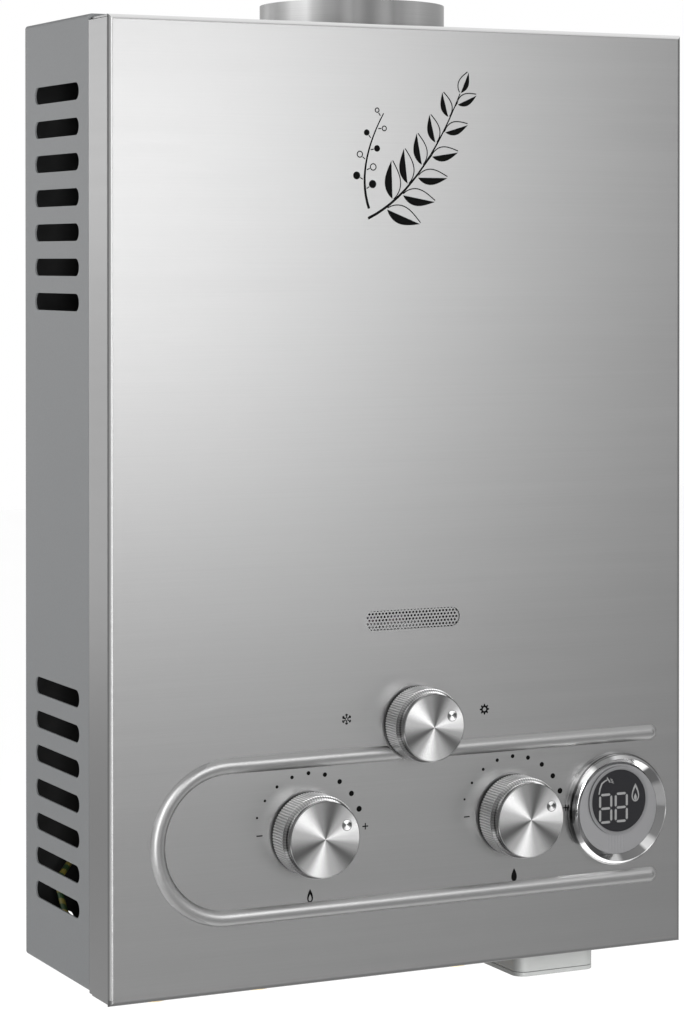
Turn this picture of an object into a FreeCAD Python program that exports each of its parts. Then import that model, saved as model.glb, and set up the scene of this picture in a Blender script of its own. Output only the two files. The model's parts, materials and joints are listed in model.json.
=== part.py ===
import FreeCAD, Part
import math
import os

# Wall-hung instantaneous gas water heater, millimetres.
# X runs right, Y runs back into the wall, Z runs up; the front faces -Y.
# The origin is the centre of the rear face that lies on the wall.

# Casing
CASE_WIDTH = 298.0
CASE_HEIGHT = 440.0
HOUSING_DEPTH = 83.4
COVER_FLANGE = 24.3
SEAM_GAP = 0.3
SHEET = 0.8
COVER_DROP = 1.8
COVER_TOP_GAP = 1.8
COVER_BEND = 2.2
HOUSING_BEND = 1.6
CORNER_SLIT = 1.3
LIP_LENGTH = 14.0
LIP_CLEARANCE = 0.4
WALL_HOLE_RADIUS = 3.3
WALL_HOLE_INSET_X = 21.0
WALL_HOLE_INSET_Z = 15.0
COVER_SCREW_RADIUS = 2.0
COVER_SCREW_FIT = 0.1
COVER_SCREW_XS = (-95.0, 35.0)
SCREW_HEAD_HEIGHT = 2.0
SCREW_SLOT_WIDTH = 0.8
SCREW_SLOT_DEPTH = 0.8
SCREW_REACH = 5.0

# Side vents
VENT_LENGTH = 57.0
VENT_WIDTH = 8.0
VENT_PITCH = 16.0
VENT_COUNT = 7
VENT_GROUP_Z = 138.0
VENT_Y = -42.9

# Air slots in the floor of the housing
AIR_SLOT_LENGTH = 40.0
AIR_SLOT_WIDTH = 5.0
AIR_SLOT_PITCH = 10.0
AIR_SLOT_COUNT = 5
AIR_SLOT_Y = -45.0

# Pressed bead on the cover, a C shape open to the right
BEAD_WIDTH = 7.2
BEAD_HEIGHT = 1.8
BEAD_RADIUS = 34.4
BEAD_DROP = 1.0
BEAD_LEFT_GAP = 19.5
BEAD_RIGHT_GAP = 14.0

# Flue
FLUE_FROM_WALL = 48.5
COLLAR_RADIUS = 44.3
COLLAR_SOCKET_WALL = 0.8
COLLAR_WALL = 1.5
COLLAR_RISE = 11.0
COLLAR_GAP = 1.5
COLLAR_SLIP = 0.4
HOOD_WALL = 0.8
HOOD_FOOT = 20.0
HOOD_SLOPE = 45.0
HOOD_NECK_HEIGHT = 18.0
HOOD_TOP_MARGIN = 6.0
HOOD_NECK_BELOW_TOP = 22.0

# Heat exchanger
CHAMBER_WIDTH = 164.0
CHAMBER_DEPTH = 64.0
CHAMBER_LIFT = 8.0
CHAMBER_WALL = 0.8
FLANGE_WIDTH = 4.0
FIN_COUNT = 46
FIN_PITCH = 3.4
FIN_THICKNESS = 0.5
FIN_HEIGHT = 32.0
FIN_TOP_MARGIN = 3.0
UPPER_STRAP_DROP = 35.0
LOWER_STRAP_RISE = 20.0
FIN_EDGE_GAP = 0.5
TUBE_RADIUS = 6.0
TUBE_WALL = 0.8
TUBE_GAP = 0.7
TUBE_FIT = 0.05
TUBE_BEND = 12.0
FIN_TUBE_EDGE = 1.2
FIN_TUBE_OVERHANG = 6.0
FIN_TUBE_ROWS = 4
COIL_FRONT_GAP = 1.5
COIL_FOOT = 18.0
COIL_TOP_GAP = 48.0
COIL_TURNS = 3
CLIMB_GAP = 1.0
COLD_UNION_DROP = 22.0
COLD_PIPE_OFFSET = 5.0
COLD_PIPE_GAP = 4.5
HOT_PIPE_SET = 40.0

# Burner
BURNER_BAR_COUNT = 10
BURNER_BAR_PITCH = 15.0
BURNER_BAR_WIDTH = 9.0
BURNER_BAR_HEIGHT = 36.0
BURNER_BAR_EDGE = 2.0
BURNER_BAR_WALL = 1.2
MIXING_LENGTH = 22.0
BURNER_DEPTH = 48.0
BURNER_FRAME_WALL = 1.0
BURNER_FRAME_HEIGHT = 36.0
FRAME_BELOW_BARS = 4.0
FLAME_SLOT_WIDTH = 1.2
FLAME_SLOT_COUNT = 9
FLAME_SLOT_DEPTH = 3.0
FLAME_SLOT_LENGTH = 6.0
MANIFOLD_SIZE = 10.0
MANIFOLD_WALL = 1.5
MANIFOLD_GAP = 3.0
MANIFOLD_SETBACK = 12.2
MANIFOLD_END_GAP = 2.0
NOZZLE_RADIUS = 3.0
NOZZLE_BORE = 0.6
NOZZLE_RISE = 10.0
NOZZLE_REACH = 4.5
NOZZLE_CLEARANCE = 1.5
BRACKET_THICKNESS = 1.2
BRACKET_WIDTH = 20.0
BRACKET_X = 58.0
BRACKET_FLANGE = 14.0

# Controls on the cover
KNOB_RADIUS = 19.0
KNOB_GAP = 0.8
KNOB_SEAT_GAP = 0.8
KNOB_SIDE = 13.0
KNOB_STEP = 2.0
KNOB_STEP_INSET = 2.1
KNOB_FOOT = 1.2
KNOB_SHOULDER = 1.4
KNOB_SHOULDER_LEDGE = 0.9
KNOB_FACE_INSET = 1.5
KNOB_FACE_THICKNESS = 2.2
KNOB_FACE_CHAMFER = 0.5
KNOB_RIDGES = 90
KNOB_RIDGE_DEPTH = 0.35
KNOB_HOLLOW_DEPTH = 9.0
KNOB_WALL = 2.5
KNOB_HUB_RADIUS = 6.0
POINTER_RADIUS = 1.9
POINTER_INSET = 5.3
POINTER_ANGLE = 28.0
POINTER_DEPTH = 0.6
STEM_RADIUS = 3.0
STEM_FIT = 0.05
STEM_SEAT = 10.0
STEM_HOLE_CLEARANCE = 2.0
STEM_END_GAP = 1.0
KNOB_ROW_HEIGHT = 67.7
GAS_KNOB_X = -51.4
WATER_KNOB_X = 55.4
SEASON_KNOB_RADIUS = 17.2
SEASON_KNOB_X = 4.2
SEASON_KNOB_RISE = 46.8

# Sight slot and its perforated screen
SIGHT_X = 2.0
SIGHT_RISE = 0.8
SIGHT_LENGTH = 50.0
SIGHT_WIDTH = 9.0
SCREEN_MARGIN = 5.0
SCREEN_THICKNESS = 0.5
SCREEN_HOLE_RADIUS = 0.55
SCREEN_PITCH = 1.75
SCREEN_ROWS = 7
SCREEN_COLUMNS = 27

# Temperature display
DISPLAY_DROP = 1.7
BEZEL_RADIUS = 26.8
BEZEL_CREST_RADIUS = 24.6
BEZEL_INNER_RADIUS = 21.6
BEZEL_EDGE = 1.6
BEZEL_RISE = 6.2
PLATE_THICKNESS = 3.0
PLATE_FIT = 0.1
LENS_RADIUS = 14.8
LENS_RAISE = 4.1
LENS_PROUD = 0.6
LENS_THICKNESS = 1.6
LENS_HOLE_GAP = 1.0
LENS_FIT = 0.1
LENS_RING = 1.5
LENS_RING_RISE = 0.8
DISPLAY_POD_RADIUS = 24.0
DISPLAY_POD_DEPTH = 16.0
DISPLAY_POD_WALL = 1.5
BOARD_THICKNESS = 1.6
BOARD_FIT = 0.5
DIGIT_BLOCK_WIDTH = 20.0
DIGIT_BLOCK_HEIGHT = 13.0

# Valves and bottom fittings
NIPPLE_RADIUS = 10.48
NIPPLE_LENGTH = 13.5
NIPPLE_BORE = 7.5
NIPPLE_NECK = 10.2
NIPPLE_NECK_BORE = 5.0
NIPPLE_FLANGE_RADIUS = 15.0
NIPPLE_FLANGE_THICKNESS = 2.5
NIPPLE_HOLE_GAP = 0.5
HOT_NIPPLE_HEIGHT = 44.2
NIPPLE_Y = -45.0
HOT_X = -104.0
LOCKNUT_SIZE = 27.0
LOCKNUT_HEIGHT = 5.0
LOCKNUT_FIT = 0.1
UNION_SIZE = 17.0
UNION_HEIGHT = 6.5
GAS_VALVE_WIDTH = 47.0
GAS_VALVE_HEIGHT = 55.0
GAS_VALVE_SETBACK = 22.2
GAS_VALVE_EDGE = 5.0
GAS_VALVE_DEPTH = 57.0
WATER_VALVE_WIDTH = 31.0
WATER_VALVE_HEIGHT = 50.0
WATER_VALVE_SETBACK = 22.2
WATER_VALVE_EDGE = 4.0
WATER_VALVE_DEPTH = 55.0
SEASON_VALVE_WIDTH = 33.0
SEASON_VALVE_HEIGHT = 14.0
SEASON_VALVE_SETBACK = 12.2
SEASON_VALVE_DEPTH = 40.0
SEASON_VALVE_EDGE = 3.0
SEASON_PORT_DEPTH = 12.0
BOSS_WIDTH = 14.0
BOSS_HEIGHT = 9.5
BOSS_BORE = 3.5
BOSS_BORE_DEPTH = 6.0
BONNET_RADIUS = 9.0
BONNET_LENGTH = 6.0
STEM_DEPTH = 20.0
PORT_RADIUS = 5.0
PORT_DEPTH = 18.0
SOLENOID_RADIUS = 12.0
SOLENOID_WALL_GAP = 7.2
SOLENOID_DROP = 12.0
SOLENOID_PLATE = 30.0
SOLENOID_PLATE_THICKNESS = 2.0
SOLENOID_PLATE_EDGE = 3.0
DIAPHRAGM_RADIUS = 27.0
DIAPHRAGM_THICKNESS = 1.2
DIAPHRAGM_BASE = 8.8
DIAPHRAGM_CAP = 12.0
DIAPHRAGM_CHAMBER_RADIUS = 19.0
DIAPHRAGM_CHAMBER_DEPTH = 9.0
DIAPHRAGM_EDGE_GAP = 0.5
BODY_CHAMBER_DEPTH = 4.0
FLANGE_SCREW_RADIUS = 1.8
FLANGE_SCREW_COUNT = 6
FLANGE_SCREW_INSET = 3.8
FLANGE_SCREW_FIT = 0.1
FLANGE_SCREW_HEAD_RADIUS = 3.24
FLANGE_SCREW_HEAD = 2.5
FLANGE_SCREW_END_GAP = 1.0
RISER_SETBACK = 25.0

# Push rod between the water valve and the gas valve, with its switch
ROD_SETBACK = 32.0
ROD_RADIUS = 2.0
ROD_FIT = 0.05
ROD_TRAVEL = 4.0
ROD_SEAT = 8.0
ROD_END_GAP = 2.0
ROD_GUIDE_RADIUS = 7.0
ROD_GUIDE_LENGTH = 4.0
ROD_PLATE_RADIUS = 12.0
ROD_PLATE_THICKNESS = 2.0
ROD_PLATE_GAP = 0.5
ROD_COLLAR_RADIUS = 4.5
ROD_COLLAR_LENGTH = 4.0
SPRING_SEAT_RADIUS = 4.2
SPRING_SEAT_THICKNESS = 1.0
SPRING_SEAT_GAP = 6.0
SPRING_WIRE = 0.5
SPRING_RADIUS = 3.4
SPRING_TURNS = 7
SWITCH_LENGTH = 20.0
SWITCH_HEIGHT = 10.0
SWITCH_THICKNESS = 6.4
SWITCH_DROP = 12.4
SWITCH_EDGE = 0.8
SWITCH_BEFORE_PIN = 4.0
SWITCH_BRACKET = 1.0
SWITCH_BRACKET_WIDTH = 11.0
SWITCH_BRACKET_LAP = 4.0
LEVER_X = -2.0
LEVER_PIN_RADIUS = 0.8
LEVER_PIN_RISE = 4.0
LEVER_BLADE = 0.6
LEVER_CHEEK = 0.8
LEVER_CHEEK_WIDTH = 3.0
LEVER_CHEEK_TOP = 1.8
LEVER_CHEEK_FOOT = 1.0
LEVER_ROOT_GAP = 1.0
LEVER_GAP = 0.3
LEVER_ROD_GAP = 0.9

# Drain cock
DRAIN_SHIFT = 8.6
DRAIN_SETBACK = 10.0
DRAIN_RADIUS = 5.5
DRAIN_SHAFT_RADIUS = 3.0
DRAIN_SHAFT_LENGTH = 20.0
DRAIN_FIT = 0.05
DRAIN_HEAD_RADIUS = 6.8
DRAIN_HEAD_HEIGHT = 7.0
DRAIN_BELOW = 1.5
DRAIN_GAP = 0.3
DRAIN_HOLE_GAP = 0.8
DRAIN_WING = 3.0
DRAIN_WING_INSET = 0.6
DRAIN_DISC = 2.5
DRAIN_PORT_DEPTH = 8.0

# Battery box
BATTERY_SIDE_GAP = 3.1
BATTERY_WIDTH = 44.0
BATTERY_DEPTH = 74.0
BATTERY_SETBACK = 3.4
BATTERY_BOTTOM = 18.0
BATTERY_WALL = 1.6
BATTERY_CORNER = 6.0
BATTERY_RIM = 2.0
BATTERY_RIM_THICKNESS = 1.6
BATTERY_HOLE_GAP = 0.4
CELL_RADIUS = 17.0
CELL_LENGTH = 61.5
CELL_NUB_RADIUS = 5.0
CELL_NUB = 1.5
CELL_GAP = 0.6
CELL_SIDE_GAP = 0.6
CONTACT_THICKNESS = 0.5
CONTACT_WIDTH = 16.0
LID_CONTACT_LAP = 3.0
LID_SPRING_SHIFT = 4.0
CONTACT_SPRING_HEIGHT = 4.0
CONTACT_SPRING_RADIUS = 6.0
CONTACT_WIRE = 0.5
CONTACT_TURNS = 3
LID_THICKNESS = 2.0
LID_GAP = 0.3
HINGE_RADIUS = 2.4
HINGE_PIN_RADIUS = 1.2
HINGE_FIT = 0.05
HINGE_EAR = 5.0
HINGE_WEB = 2.0
HINGE_TONGUE_LAP = 1.0

# Ignition, safety and wiring
IGNITER_WIDTH = 38.0
IGNITER_DEPTH = 33.0
IGNITER_HEIGHT = 65.0
IGNITER_DROP = 2.0
IGNITER_SIDE_GAP = 6.0
IGNITER_EDGE = 3.0
ELECTRODE_X = 42.0
ELECTRODE_RISE = 4.0
CERAMIC_RADIUS = 3.3
CERAMIC_LENGTH = 16.0
CERAMIC_BEHIND = 5.0
ELECTRODE_WIRE = 1.0
ELECTRODE_TIP = 8.0
ELECTRODE_TAB_WIDTH = 16.0
ELECTRODE_TAB_LAP = 12.0
ELECTRODE_TAB_ABOVE = 6.0
ELECTRODE_FIT = 0.1
LEAD_RADIUS = 1.5
LEAD_TURN = 6.0
LEAD_BEND = 10.0
LEAD_END_BEND = 4.5
IGNITION_EXIT_Y = 18.0
IGNITION_RISE = 16.0
IGNITION_EXIT_BEND = 6.0
IGNITION_LOOP_BEND = 8.0
IGNITION_PASS = (6.0, 22.0, 12.0)
IGNITION_SWING = (18.0, 4.0)
IGNITION_APPROACH = 26.0
SENSOR_DROP = 8.0
SENSOR_EXIT_Y = 13.2
SENSOR_FIRST_BEND = 20.0
SENSOR_REACH = 22.0
SENSOR_PASS = (2.0, 1.0, 12.0)
SENSOR_CLIMB = (4.0, 8.0, 8.0)
SENSOR_APPROACH = 8.0
EARTH_ROUTE = (
    (22.0, 0.0, 47.2),
    (22.0, 8.2, 47.2),
    (9.0, 16.2, 36.2),
    (8.0, 29.2, 23.2),
    (16.0, 49.2, 13.2),
    (42.0, 63.2, 10.2),
)
EARTH_BENDS = (5.0, 8.0, 8.0, 12.0, 14.0, 8.0, 6.0)
EARTH_TERMINAL_X = 6.6
EARTH_TERMINAL_Y = 21.0
EARTH_LAST_TURN = (10.0, 2.0, 14.2)
EARTH_LAST_RISE = 13.0
THERMOSTAT_RADIUS = 8.0
THERMOSTAT_HEIGHT = 6.0
THERMOSTAT_PLATE_LENGTH = 28.0
THERMOSTAT_PLATE_HEIGHT = 10.0
THERMOSTAT_PLATE = 1.0
PROBE_RADIUS = 3.0
PROBE_LENGTH = 14.0
PROBE_RISE = 15.8
PROBE_BAND = 6.0
PROBE_BAND_WALL = 1.0
PROBE_SINK = 0.3

# Places that follow from the sizes above
half_width = CASE_WIDTH / 2
case_top = CASE_HEIGHT / 2
case_bottom = -CASE_HEIGHT / 2
floor_z = case_bottom + SHEET
wall_y = -SHEET
cover_back_y = -HOUSING_DEPTH - SEAM_GAP
front_y = cover_back_y - COVER_FLANGE
cover_inner_y = front_y + SHEET
cover_top = case_top - COVER_TOP_GAP
cover_bottom = case_bottom - COVER_DROP
lip_half = half_width - SHEET - LIP_CLEARANCE
lip_top = cover_top - SHEET - LIP_CLEARANCE
lip_bottom = case_bottom + LIP_CLEARANCE
lip_front_y = -HOUSING_DEPTH - LIP_LENGTH
cover_screw_y = (cover_back_y + lip_front_y) / 2
knob_row_z = case_bottom + KNOB_ROW_HEIGHT
season_knob_z = knob_row_z + SEASON_KNOB_RISE
bead_z = knob_row_z - BEAD_DROP
bead_turn_x = -half_width + BEAD_LEFT_GAP + BEAD_WIDTH / 2 + BEAD_RADIUS
bead_end_x = half_width - BEAD_RIGHT_GAP - BEAD_WIDTH / 2
display_x = (WATER_KNOB_X + KNOB_RADIUS + half_width) / 2
display_z = knob_row_z - DISPLAY_DROP
lens_z = display_z + LENS_RAISE
lens_front = front_y - PLATE_THICKNESS - LENS_PROUD
display_back = cover_inner_y + DISPLAY_POD_DEPTH

# Valves, from the floor up
gas_valve_front = cover_inner_y + GAS_VALVE_SETBACK
gas_valve_back = gas_valve_front + GAS_VALVE_DEPTH
gas_valve_right = GAS_KNOB_X + GAS_VALVE_WIDTH / 2
gas_valve_top = knob_row_z + GAS_VALVE_HEIGHT / 2
gas_valve_bottom = knob_row_z - GAS_VALVE_HEIGHT / 2
water_valve_front = cover_inner_y + WATER_VALVE_SETBACK
water_valve_left = WATER_KNOB_X - WATER_VALVE_WIDTH / 2
water_valve_top = knob_row_z + WATER_VALVE_HEIGHT / 2
water_valve_bottom = knob_row_z - WATER_VALVE_HEIGHT / 2
season_valve_front = cover_inner_y + SEASON_VALVE_SETBACK
season_valve_bottom = season_knob_z - SEASON_VALVE_HEIGHT / 2
season_valve_top = season_knob_z + SEASON_VALVE_HEIGHT / 2
hot_nipple_top = case_bottom + HOT_NIPPLE_HEIGHT
riser_y = gas_valve_front + RISER_SETBACK
drain_x = WATER_KNOB_X + DRAIN_SHIFT
drain_y = water_valve_front + DRAIN_SETBACK

# Push rod, from the diaphragm to the gas valve
rod_y = water_valve_front + ROD_SETBACK
diaphragm_right = water_valve_left - DIAPHRAGM_BASE
diaphragm_left = diaphragm_right - DIAPHRAGM_THICKNESS
diaphragm_cap_left = diaphragm_left - DIAPHRAGM_CAP
rod_guide_left = diaphragm_cap_left - ROD_GUIDE_LENGTH
rod_right = diaphragm_left - ROD_PLATE_GAP
rod_left = gas_valve_right - ROD_SEAT
rod_bore_left = rod_left - ROD_TRAVEL - ROD_END_GAP
collar_left = LEVER_X + LEVER_BLADE / 2 + LEVER_GAP
spring_seat_x = LEVER_X - SPRING_SEAT_GAP
switch_top = season_valve_bottom - SWITCH_DROP
switch_bottom = switch_top - SWITCH_HEIGHT
lever_pivot_z = switch_bottom + LEVER_PIN_RISE

# Burner, on the rail above the season valve
manifold_front = cover_inner_y + MANIFOLD_SETBACK
manifold_back = manifold_front + MANIFOLD_SIZE
manifold_y = (manifold_front + manifold_back) / 2
manifold_bottom = season_valve_top + BOSS_HEIGHT
manifold_half = CHAMBER_WIDTH / 2 - MANIFOLD_END_GAP
nozzle_z = manifold_bottom + MANIFOLD_SIZE / 2
burner_front = manifold_back + MANIFOLD_GAP + BURNER_FRAME_WALL
burner_back = burner_front + BURNER_DEPTH
burner_y = (burner_front + burner_back) / 2
burner_bottom = nozzle_z - NOZZLE_RISE
burner_top = burner_bottom + BURNER_BAR_HEIGHT
frame_front = burner_front - BURNER_FRAME_WALL
frame_bottom = burner_bottom - FRAME_BELOW_BARS
frame_top = frame_bottom + BURNER_FRAME_HEIGHT
sight_z = burner_top + SIGHT_RISE
electrode_z = burner_top + ELECTRODE_RISE
electrode_front = frame_front - CERAMIC_LENGTH + CERAMIC_BEHIND

# Heat exchanger and flue, hung from the top of the casing
chamber_half = CHAMBER_WIDTH / 2
chamber_front = cover_inner_y + COIL_FRONT_GAP + 2 * TUBE_RADIUS + TUBE_GAP
chamber_back = chamber_front + CHAMBER_DEPTH
chamber_bottom = burner_top + CHAMBER_LIFT
chamber_y = (chamber_front + chamber_back) / 2
flue_y = -FLUE_FROM_WALL
collar_top = case_top + COLLAR_RISE
neck_top = case_top - HOOD_NECK_BELOW_TOP
hood_top = neck_top - HOOD_NECK_HEIGHT
hood_base = hood_top - HOOD_SLOPE - HOOD_FOOT
chamber_top = hood_base
fin_top = chamber_top - FIN_TOP_MARGIN
fin_tube_z = fin_top - FIN_HEIGHT / 2
fin_tube_reach = CHAMBER_DEPTH / 2 - CHAMBER_WALL - FIN_TUBE_EDGE - TUBE_RADIUS
fin_tube_pitch = 2 * fin_tube_reach / (FIN_TUBE_ROWS - 1)
coil_x = chamber_half + TUBE_RADIUS + TUBE_GAP
coil_front = chamber_front - TUBE_RADIUS - TUBE_GAP
coil_back = chamber_back + TUBE_RADIUS + TUBE_GAP
coil_start = chamber_bottom + COIL_FOOT
coil_rise = (fin_tube_z - COIL_TOP_GAP - coil_start) / (COIL_TURNS - 1)
hot_union_z = coil_start + (COIL_TURNS - 0.5) * coil_rise
cold_union_z = coil_start - COLD_UNION_DROP
cold_y = NIPPLE_Y - COLD_PIPE_OFFSET
cold_level = frame_bottom - TUBE_RADIUS - COLD_PIPE_GAP
thermostat_z = fin_tube_z - COIL_TOP_GAP / 2

# Battery box, hung from the floor
battery_left = WATER_KNOB_X + WATER_VALVE_WIDTH / 2 + BATTERY_SIDE_GAP
battery_right = battery_left + BATTERY_WIDTH
battery_x = (battery_left + battery_right) / 2
battery_front = -HOUSING_DEPTH + BATTERY_SETBACK
battery_back = battery_front + BATTERY_DEPTH
battery_bottom = case_bottom - BATTERY_BOTTOM
lid_top = battery_bottom + LID_THICKNESS
case_rim = lid_top + LID_GAP
cell_bottom = lid_top + CONTACT_THICKNESS + CONTACT_SPRING_HEIGHT + CELL_GAP
cell_top = cell_bottom + CELL_LENGTH
battery_ceiling = cell_top + CELL_NUB + CONTACT_THICKNESS
battery_top = battery_ceiling + BATTERY_WALL
hinge_y = battery_back - HINGE_RADIUS
hinge_z = battery_bottom + HINGE_RADIUS

igniter_right = half_width - SHEET - IGNITER_SIDE_GAP
igniter_left = igniter_right - IGNITER_WIDTH
igniter_top = burner_top - IGNITER_DROP

os.makedirs("parts", exist_ok=True)


def vec(x, y, z):
    return FreeCAD.Vector(x, y, z)


def box(x0, x1, y0, y1, z0, z1):
    """A block between two corners."""
    return Part.makeBox(x1 - x0, y1 - y0, z1 - z0, vec(x0, y0, z0))


def disc_x(x0, x1, y, z, radius):
    """A round bar along X."""
    return Part.makeCylinder(radius, x1 - x0, vec(x0, y, z), vec(1, 0, 0))


def disc_y(x, y0, y1, z, radius):
    """A round bar along Y."""
    return Part.makeCylinder(radius, y1 - y0, vec(x, y0, z), vec(0, 1, 0))


def disc_z(x, y, z0, z1, radius):
    """A round bar along Z."""
    return Part.makeCylinder(radius, z1 - z0, vec(x, y, z0), vec(0, 0, 1))


def ring_z(x, y, z0, z1, radius, bore):
    """A tube along Z."""
    return disc_z(x, y, z0, z1, radius).cut(disc_z(x, y, z0 - 1, z1 + 1, bore))


def runs_along(edge, axis):
    """True for a straight edge parallel to the axis."""
    if edge.Curve.TypeId != "Part::GeomLine":
        return False
    return abs(abs(edge.tangentAt(edge.FirstParameter).dot(axis)) - 1) < 1e-6


def rounded(block, axis, radius):
    """The block with every edge along the axis rounded."""
    return block.makeFillet(radius, [edge for edge in block.Edges if runs_along(edge, axis)])


def hexagon(x, y, z0, z1, across, bore):
    """A hexagon nut along Z, given its size across the flats."""
    corner = across / 2 / math.cos(math.pi / 6)
    points = [
        vec(x + corner * math.cos(k * math.pi / 3), y + corner * math.sin(k * math.pi / 3), z0)
        for k in range(7)
    ]
    nut = Part.Face(Part.makePolygon(points)).extrude(vec(0, 0, z1 - z0))
    return nut.cut(disc_z(x, y, z0 - 1, z1 + 1, bore))


def stadium(centre, along, across, length, width, thickness):
    """A slot-shaped block: its length runs along one direction and its thickness across."""
    half = (length - width) / 2
    side = across.cross(along).normalize()
    ends = [centre + along * half, centre - along * half]
    a = ends[0] + side * (width / 2)
    b = ends[0] + along * (width / 2)
    c = ends[0] - side * (width / 2)
    d = ends[1] - side * (width / 2)
    e = ends[1] - along * (width / 2)
    f = ends[1] + side * (width / 2)
    edges = [
        Part.Arc(a, b, c).toShape(),
        Part.LineSegment(c, d).toShape(),
        Part.Arc(d, e, f).toShape(),
        Part.LineSegment(f, a).toShape(),
    ]
    face = Part.Face(Part.Wire(edges))
    face.translate(across * (-thickness / 2))
    return face.extrude(across * thickness)


def bent_wire(points, bends):
    """Straight runs joined by tangent arcs, one bend radius for each inner point."""
    if not isinstance(bends, list):
        bends = [bends] * (len(points) - 2)
    edges = []
    start = points[0]
    for before, corner, after, bend in zip(points, points[1:], points[2:], bends):
        back = (before - corner).normalize()
        ahead = (after - corner).normalize()
        half_turn = (math.pi - back.getAngle(ahead)) / 2
        reach = bend * math.tan(half_turn)
        enter = corner + back * reach
        leave = corner + ahead * reach
        inward = (back + ahead).normalize()
        middle = corner + inward * (bend / math.cos(half_turn) - bend)
        if start.distanceToPoint(enter) > 0.01:
            edges.append(Part.LineSegment(start, enter).toShape())
        edges.append(Part.Arc(enter, middle, leave).toShape())
        start = leave
    edges.append(Part.LineSegment(start, points[-1]).toShape())
    return Part.Wire(edges)


def swept(wire, start, direction, radius):
    """A round bar along a wire."""
    circle = Part.Wire(Part.makeCircle(radius, start, direction))
    return wire.makePipeShell([circle], True, False)


def tube(points, bends, radius, wall=0.0):
    """A round tube along straight runs and arcs; with no wall it is solid."""
    places = [vec(*point) for point in points]
    wire = bent_wire(places, bends)
    direction = places[1] - places[0]
    outer = swept(wire, places[0], direction, radius)
    if wall == 0:
        return outer
    return outer.cut(swept(wire, places[0], direction, radius - wall))


def coil_z(x, y, z0, z1, radius, wire_radius, turns):
    """A spring along Z, its ends cut square."""
    path = Part.makeHelix((z1 - z0 - 2 * wire_radius) / turns, z1 - z0 - 2 * wire_radius, radius)
    circle = Part.Wire(Part.makeCircle(wire_radius, vec(radius, 0, 0), vec(0, 1, 0)))
    spring = Part.Wire(path).makePipeShell([circle], True, True)
    spring.translate(vec(x, y, z0 + wire_radius))
    return spring


def save(node, shape):
    """Writes one piece, or one group of like pieces, under its own name."""
    shape.exportStep("parts/" + node + ".step")


def mirrored_rows(count, pitch):
    """Places of evenly spaced copies about zero."""
    return [(k - (count - 1) / 2) * pitch for k in range(count)]


# Casing

def vent_slots():
    """Cutters for the rows of slots in both side walls."""
    slots = []
    for group_z in (VENT_GROUP_Z, -VENT_GROUP_Z):
        for row_z in mirrored_rows(VENT_COUNT, VENT_PITCH):
            for side in (-1, 1):
                centre = vec(side * half_width, VENT_Y, group_z + row_z)
                slots.append(stadium(centre, vec(0, 1, 0), vec(1, 0, 0), VENT_LENGTH, VENT_WIDTH, 4 * SHEET))
    return slots


def wall_hole_places():
    """The four holes that take the wall screws."""
    x = half_width - WALL_HOLE_INSET_X
    z = case_top - WALL_HOLE_INSET_Z
    return [(-x, -z), (-x, z), (x, -z), (x, z)]


def floor_cutters():
    """Everything that passes through the floor of the housing."""
    low, high = case_bottom - 1, floor_z + 1
    cutters = [
        disc_z(x, NIPPLE_Y, low, high, NIPPLE_NECK + NIPPLE_HOLE_GAP)
        for x in (HOT_X, GAS_KNOB_X, WATER_KNOB_X)
    ]
    cutters.append(disc_z(drain_x, drain_y, low, high, DRAIN_RADIUS + DRAIN_HOLE_GAP))
    gap = BATTERY_HOLE_GAP
    opening = box(
        battery_left - gap, battery_right + gap, battery_front - gap, battery_back + gap, low, high
    )
    cutters.append(rounded(opening, vec(0, 0, 1), BATTERY_CORNER + gap))
    for x in mirrored_rows(AIR_SLOT_COUNT, AIR_SLOT_PITCH):
        centre = vec(x, AIR_SLOT_Y, case_bottom + SHEET / 2)
        cutters.append(
            stadium(centre, vec(0, 1, 0), vec(0, 0, 1), AIR_SLOT_LENGTH, AIR_SLOT_WIDTH, 4 * SHEET)
        )
    return cutters


def rear_housing():
    """Folded sheet tray with a lip that the cover slides over."""
    outer = box(-half_width, half_width, -HOUSING_DEPTH, 0, case_bottom, case_top)
    corners = [edge for edge in outer.Edges if runs_along(edge, vec(0, 1, 0))]
    back = [edge for edge in outer.Edges if edge.BoundBox.YMin > -0.001]
    outer = outer.makeFillet(HOUSING_BEND, corners + back)
    hollow = box(
        SHEET - half_width, half_width - SHEET, SHEET - HOUSING_DEPTH, wall_y, floor_z, case_top - SHEET
    )
    tray = outer.cut(hollow)
    lip = box(-lip_half, lip_half, lip_front_y, SHEET - HOUSING_DEPTH, lip_bottom, lip_top)
    way_in = box(
        SHEET - lip_half,
        lip_half - SHEET,
        lip_front_y - 1,
        2 * SHEET - HOUSING_DEPTH,
        lip_bottom + SHEET,
        lip_top - SHEET,
    )
    tray = tray.fuse(lip).cut(way_in)
    holes = vent_slots() + floor_cutters()
    holes.append(disc_z(0, flue_y, lip_top - 2 * SHEET, case_top + 1, COLLAR_RADIUS + COLLAR_GAP))
    for x, z in wall_hole_places():
        holes.append(disc_y(x, -3 * SHEET, 1, z, WALL_HOLE_RADIUS))
    for x in COVER_SCREW_XS:
        radius = COVER_SCREW_RADIUS + COVER_SCREW_FIT
        holes.append(disc_z(x, cover_screw_y, lip_bottom - 1, lip_bottom + 2 * SHEET, radius))
    return tray.cut(holes).removeSplitter()


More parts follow.
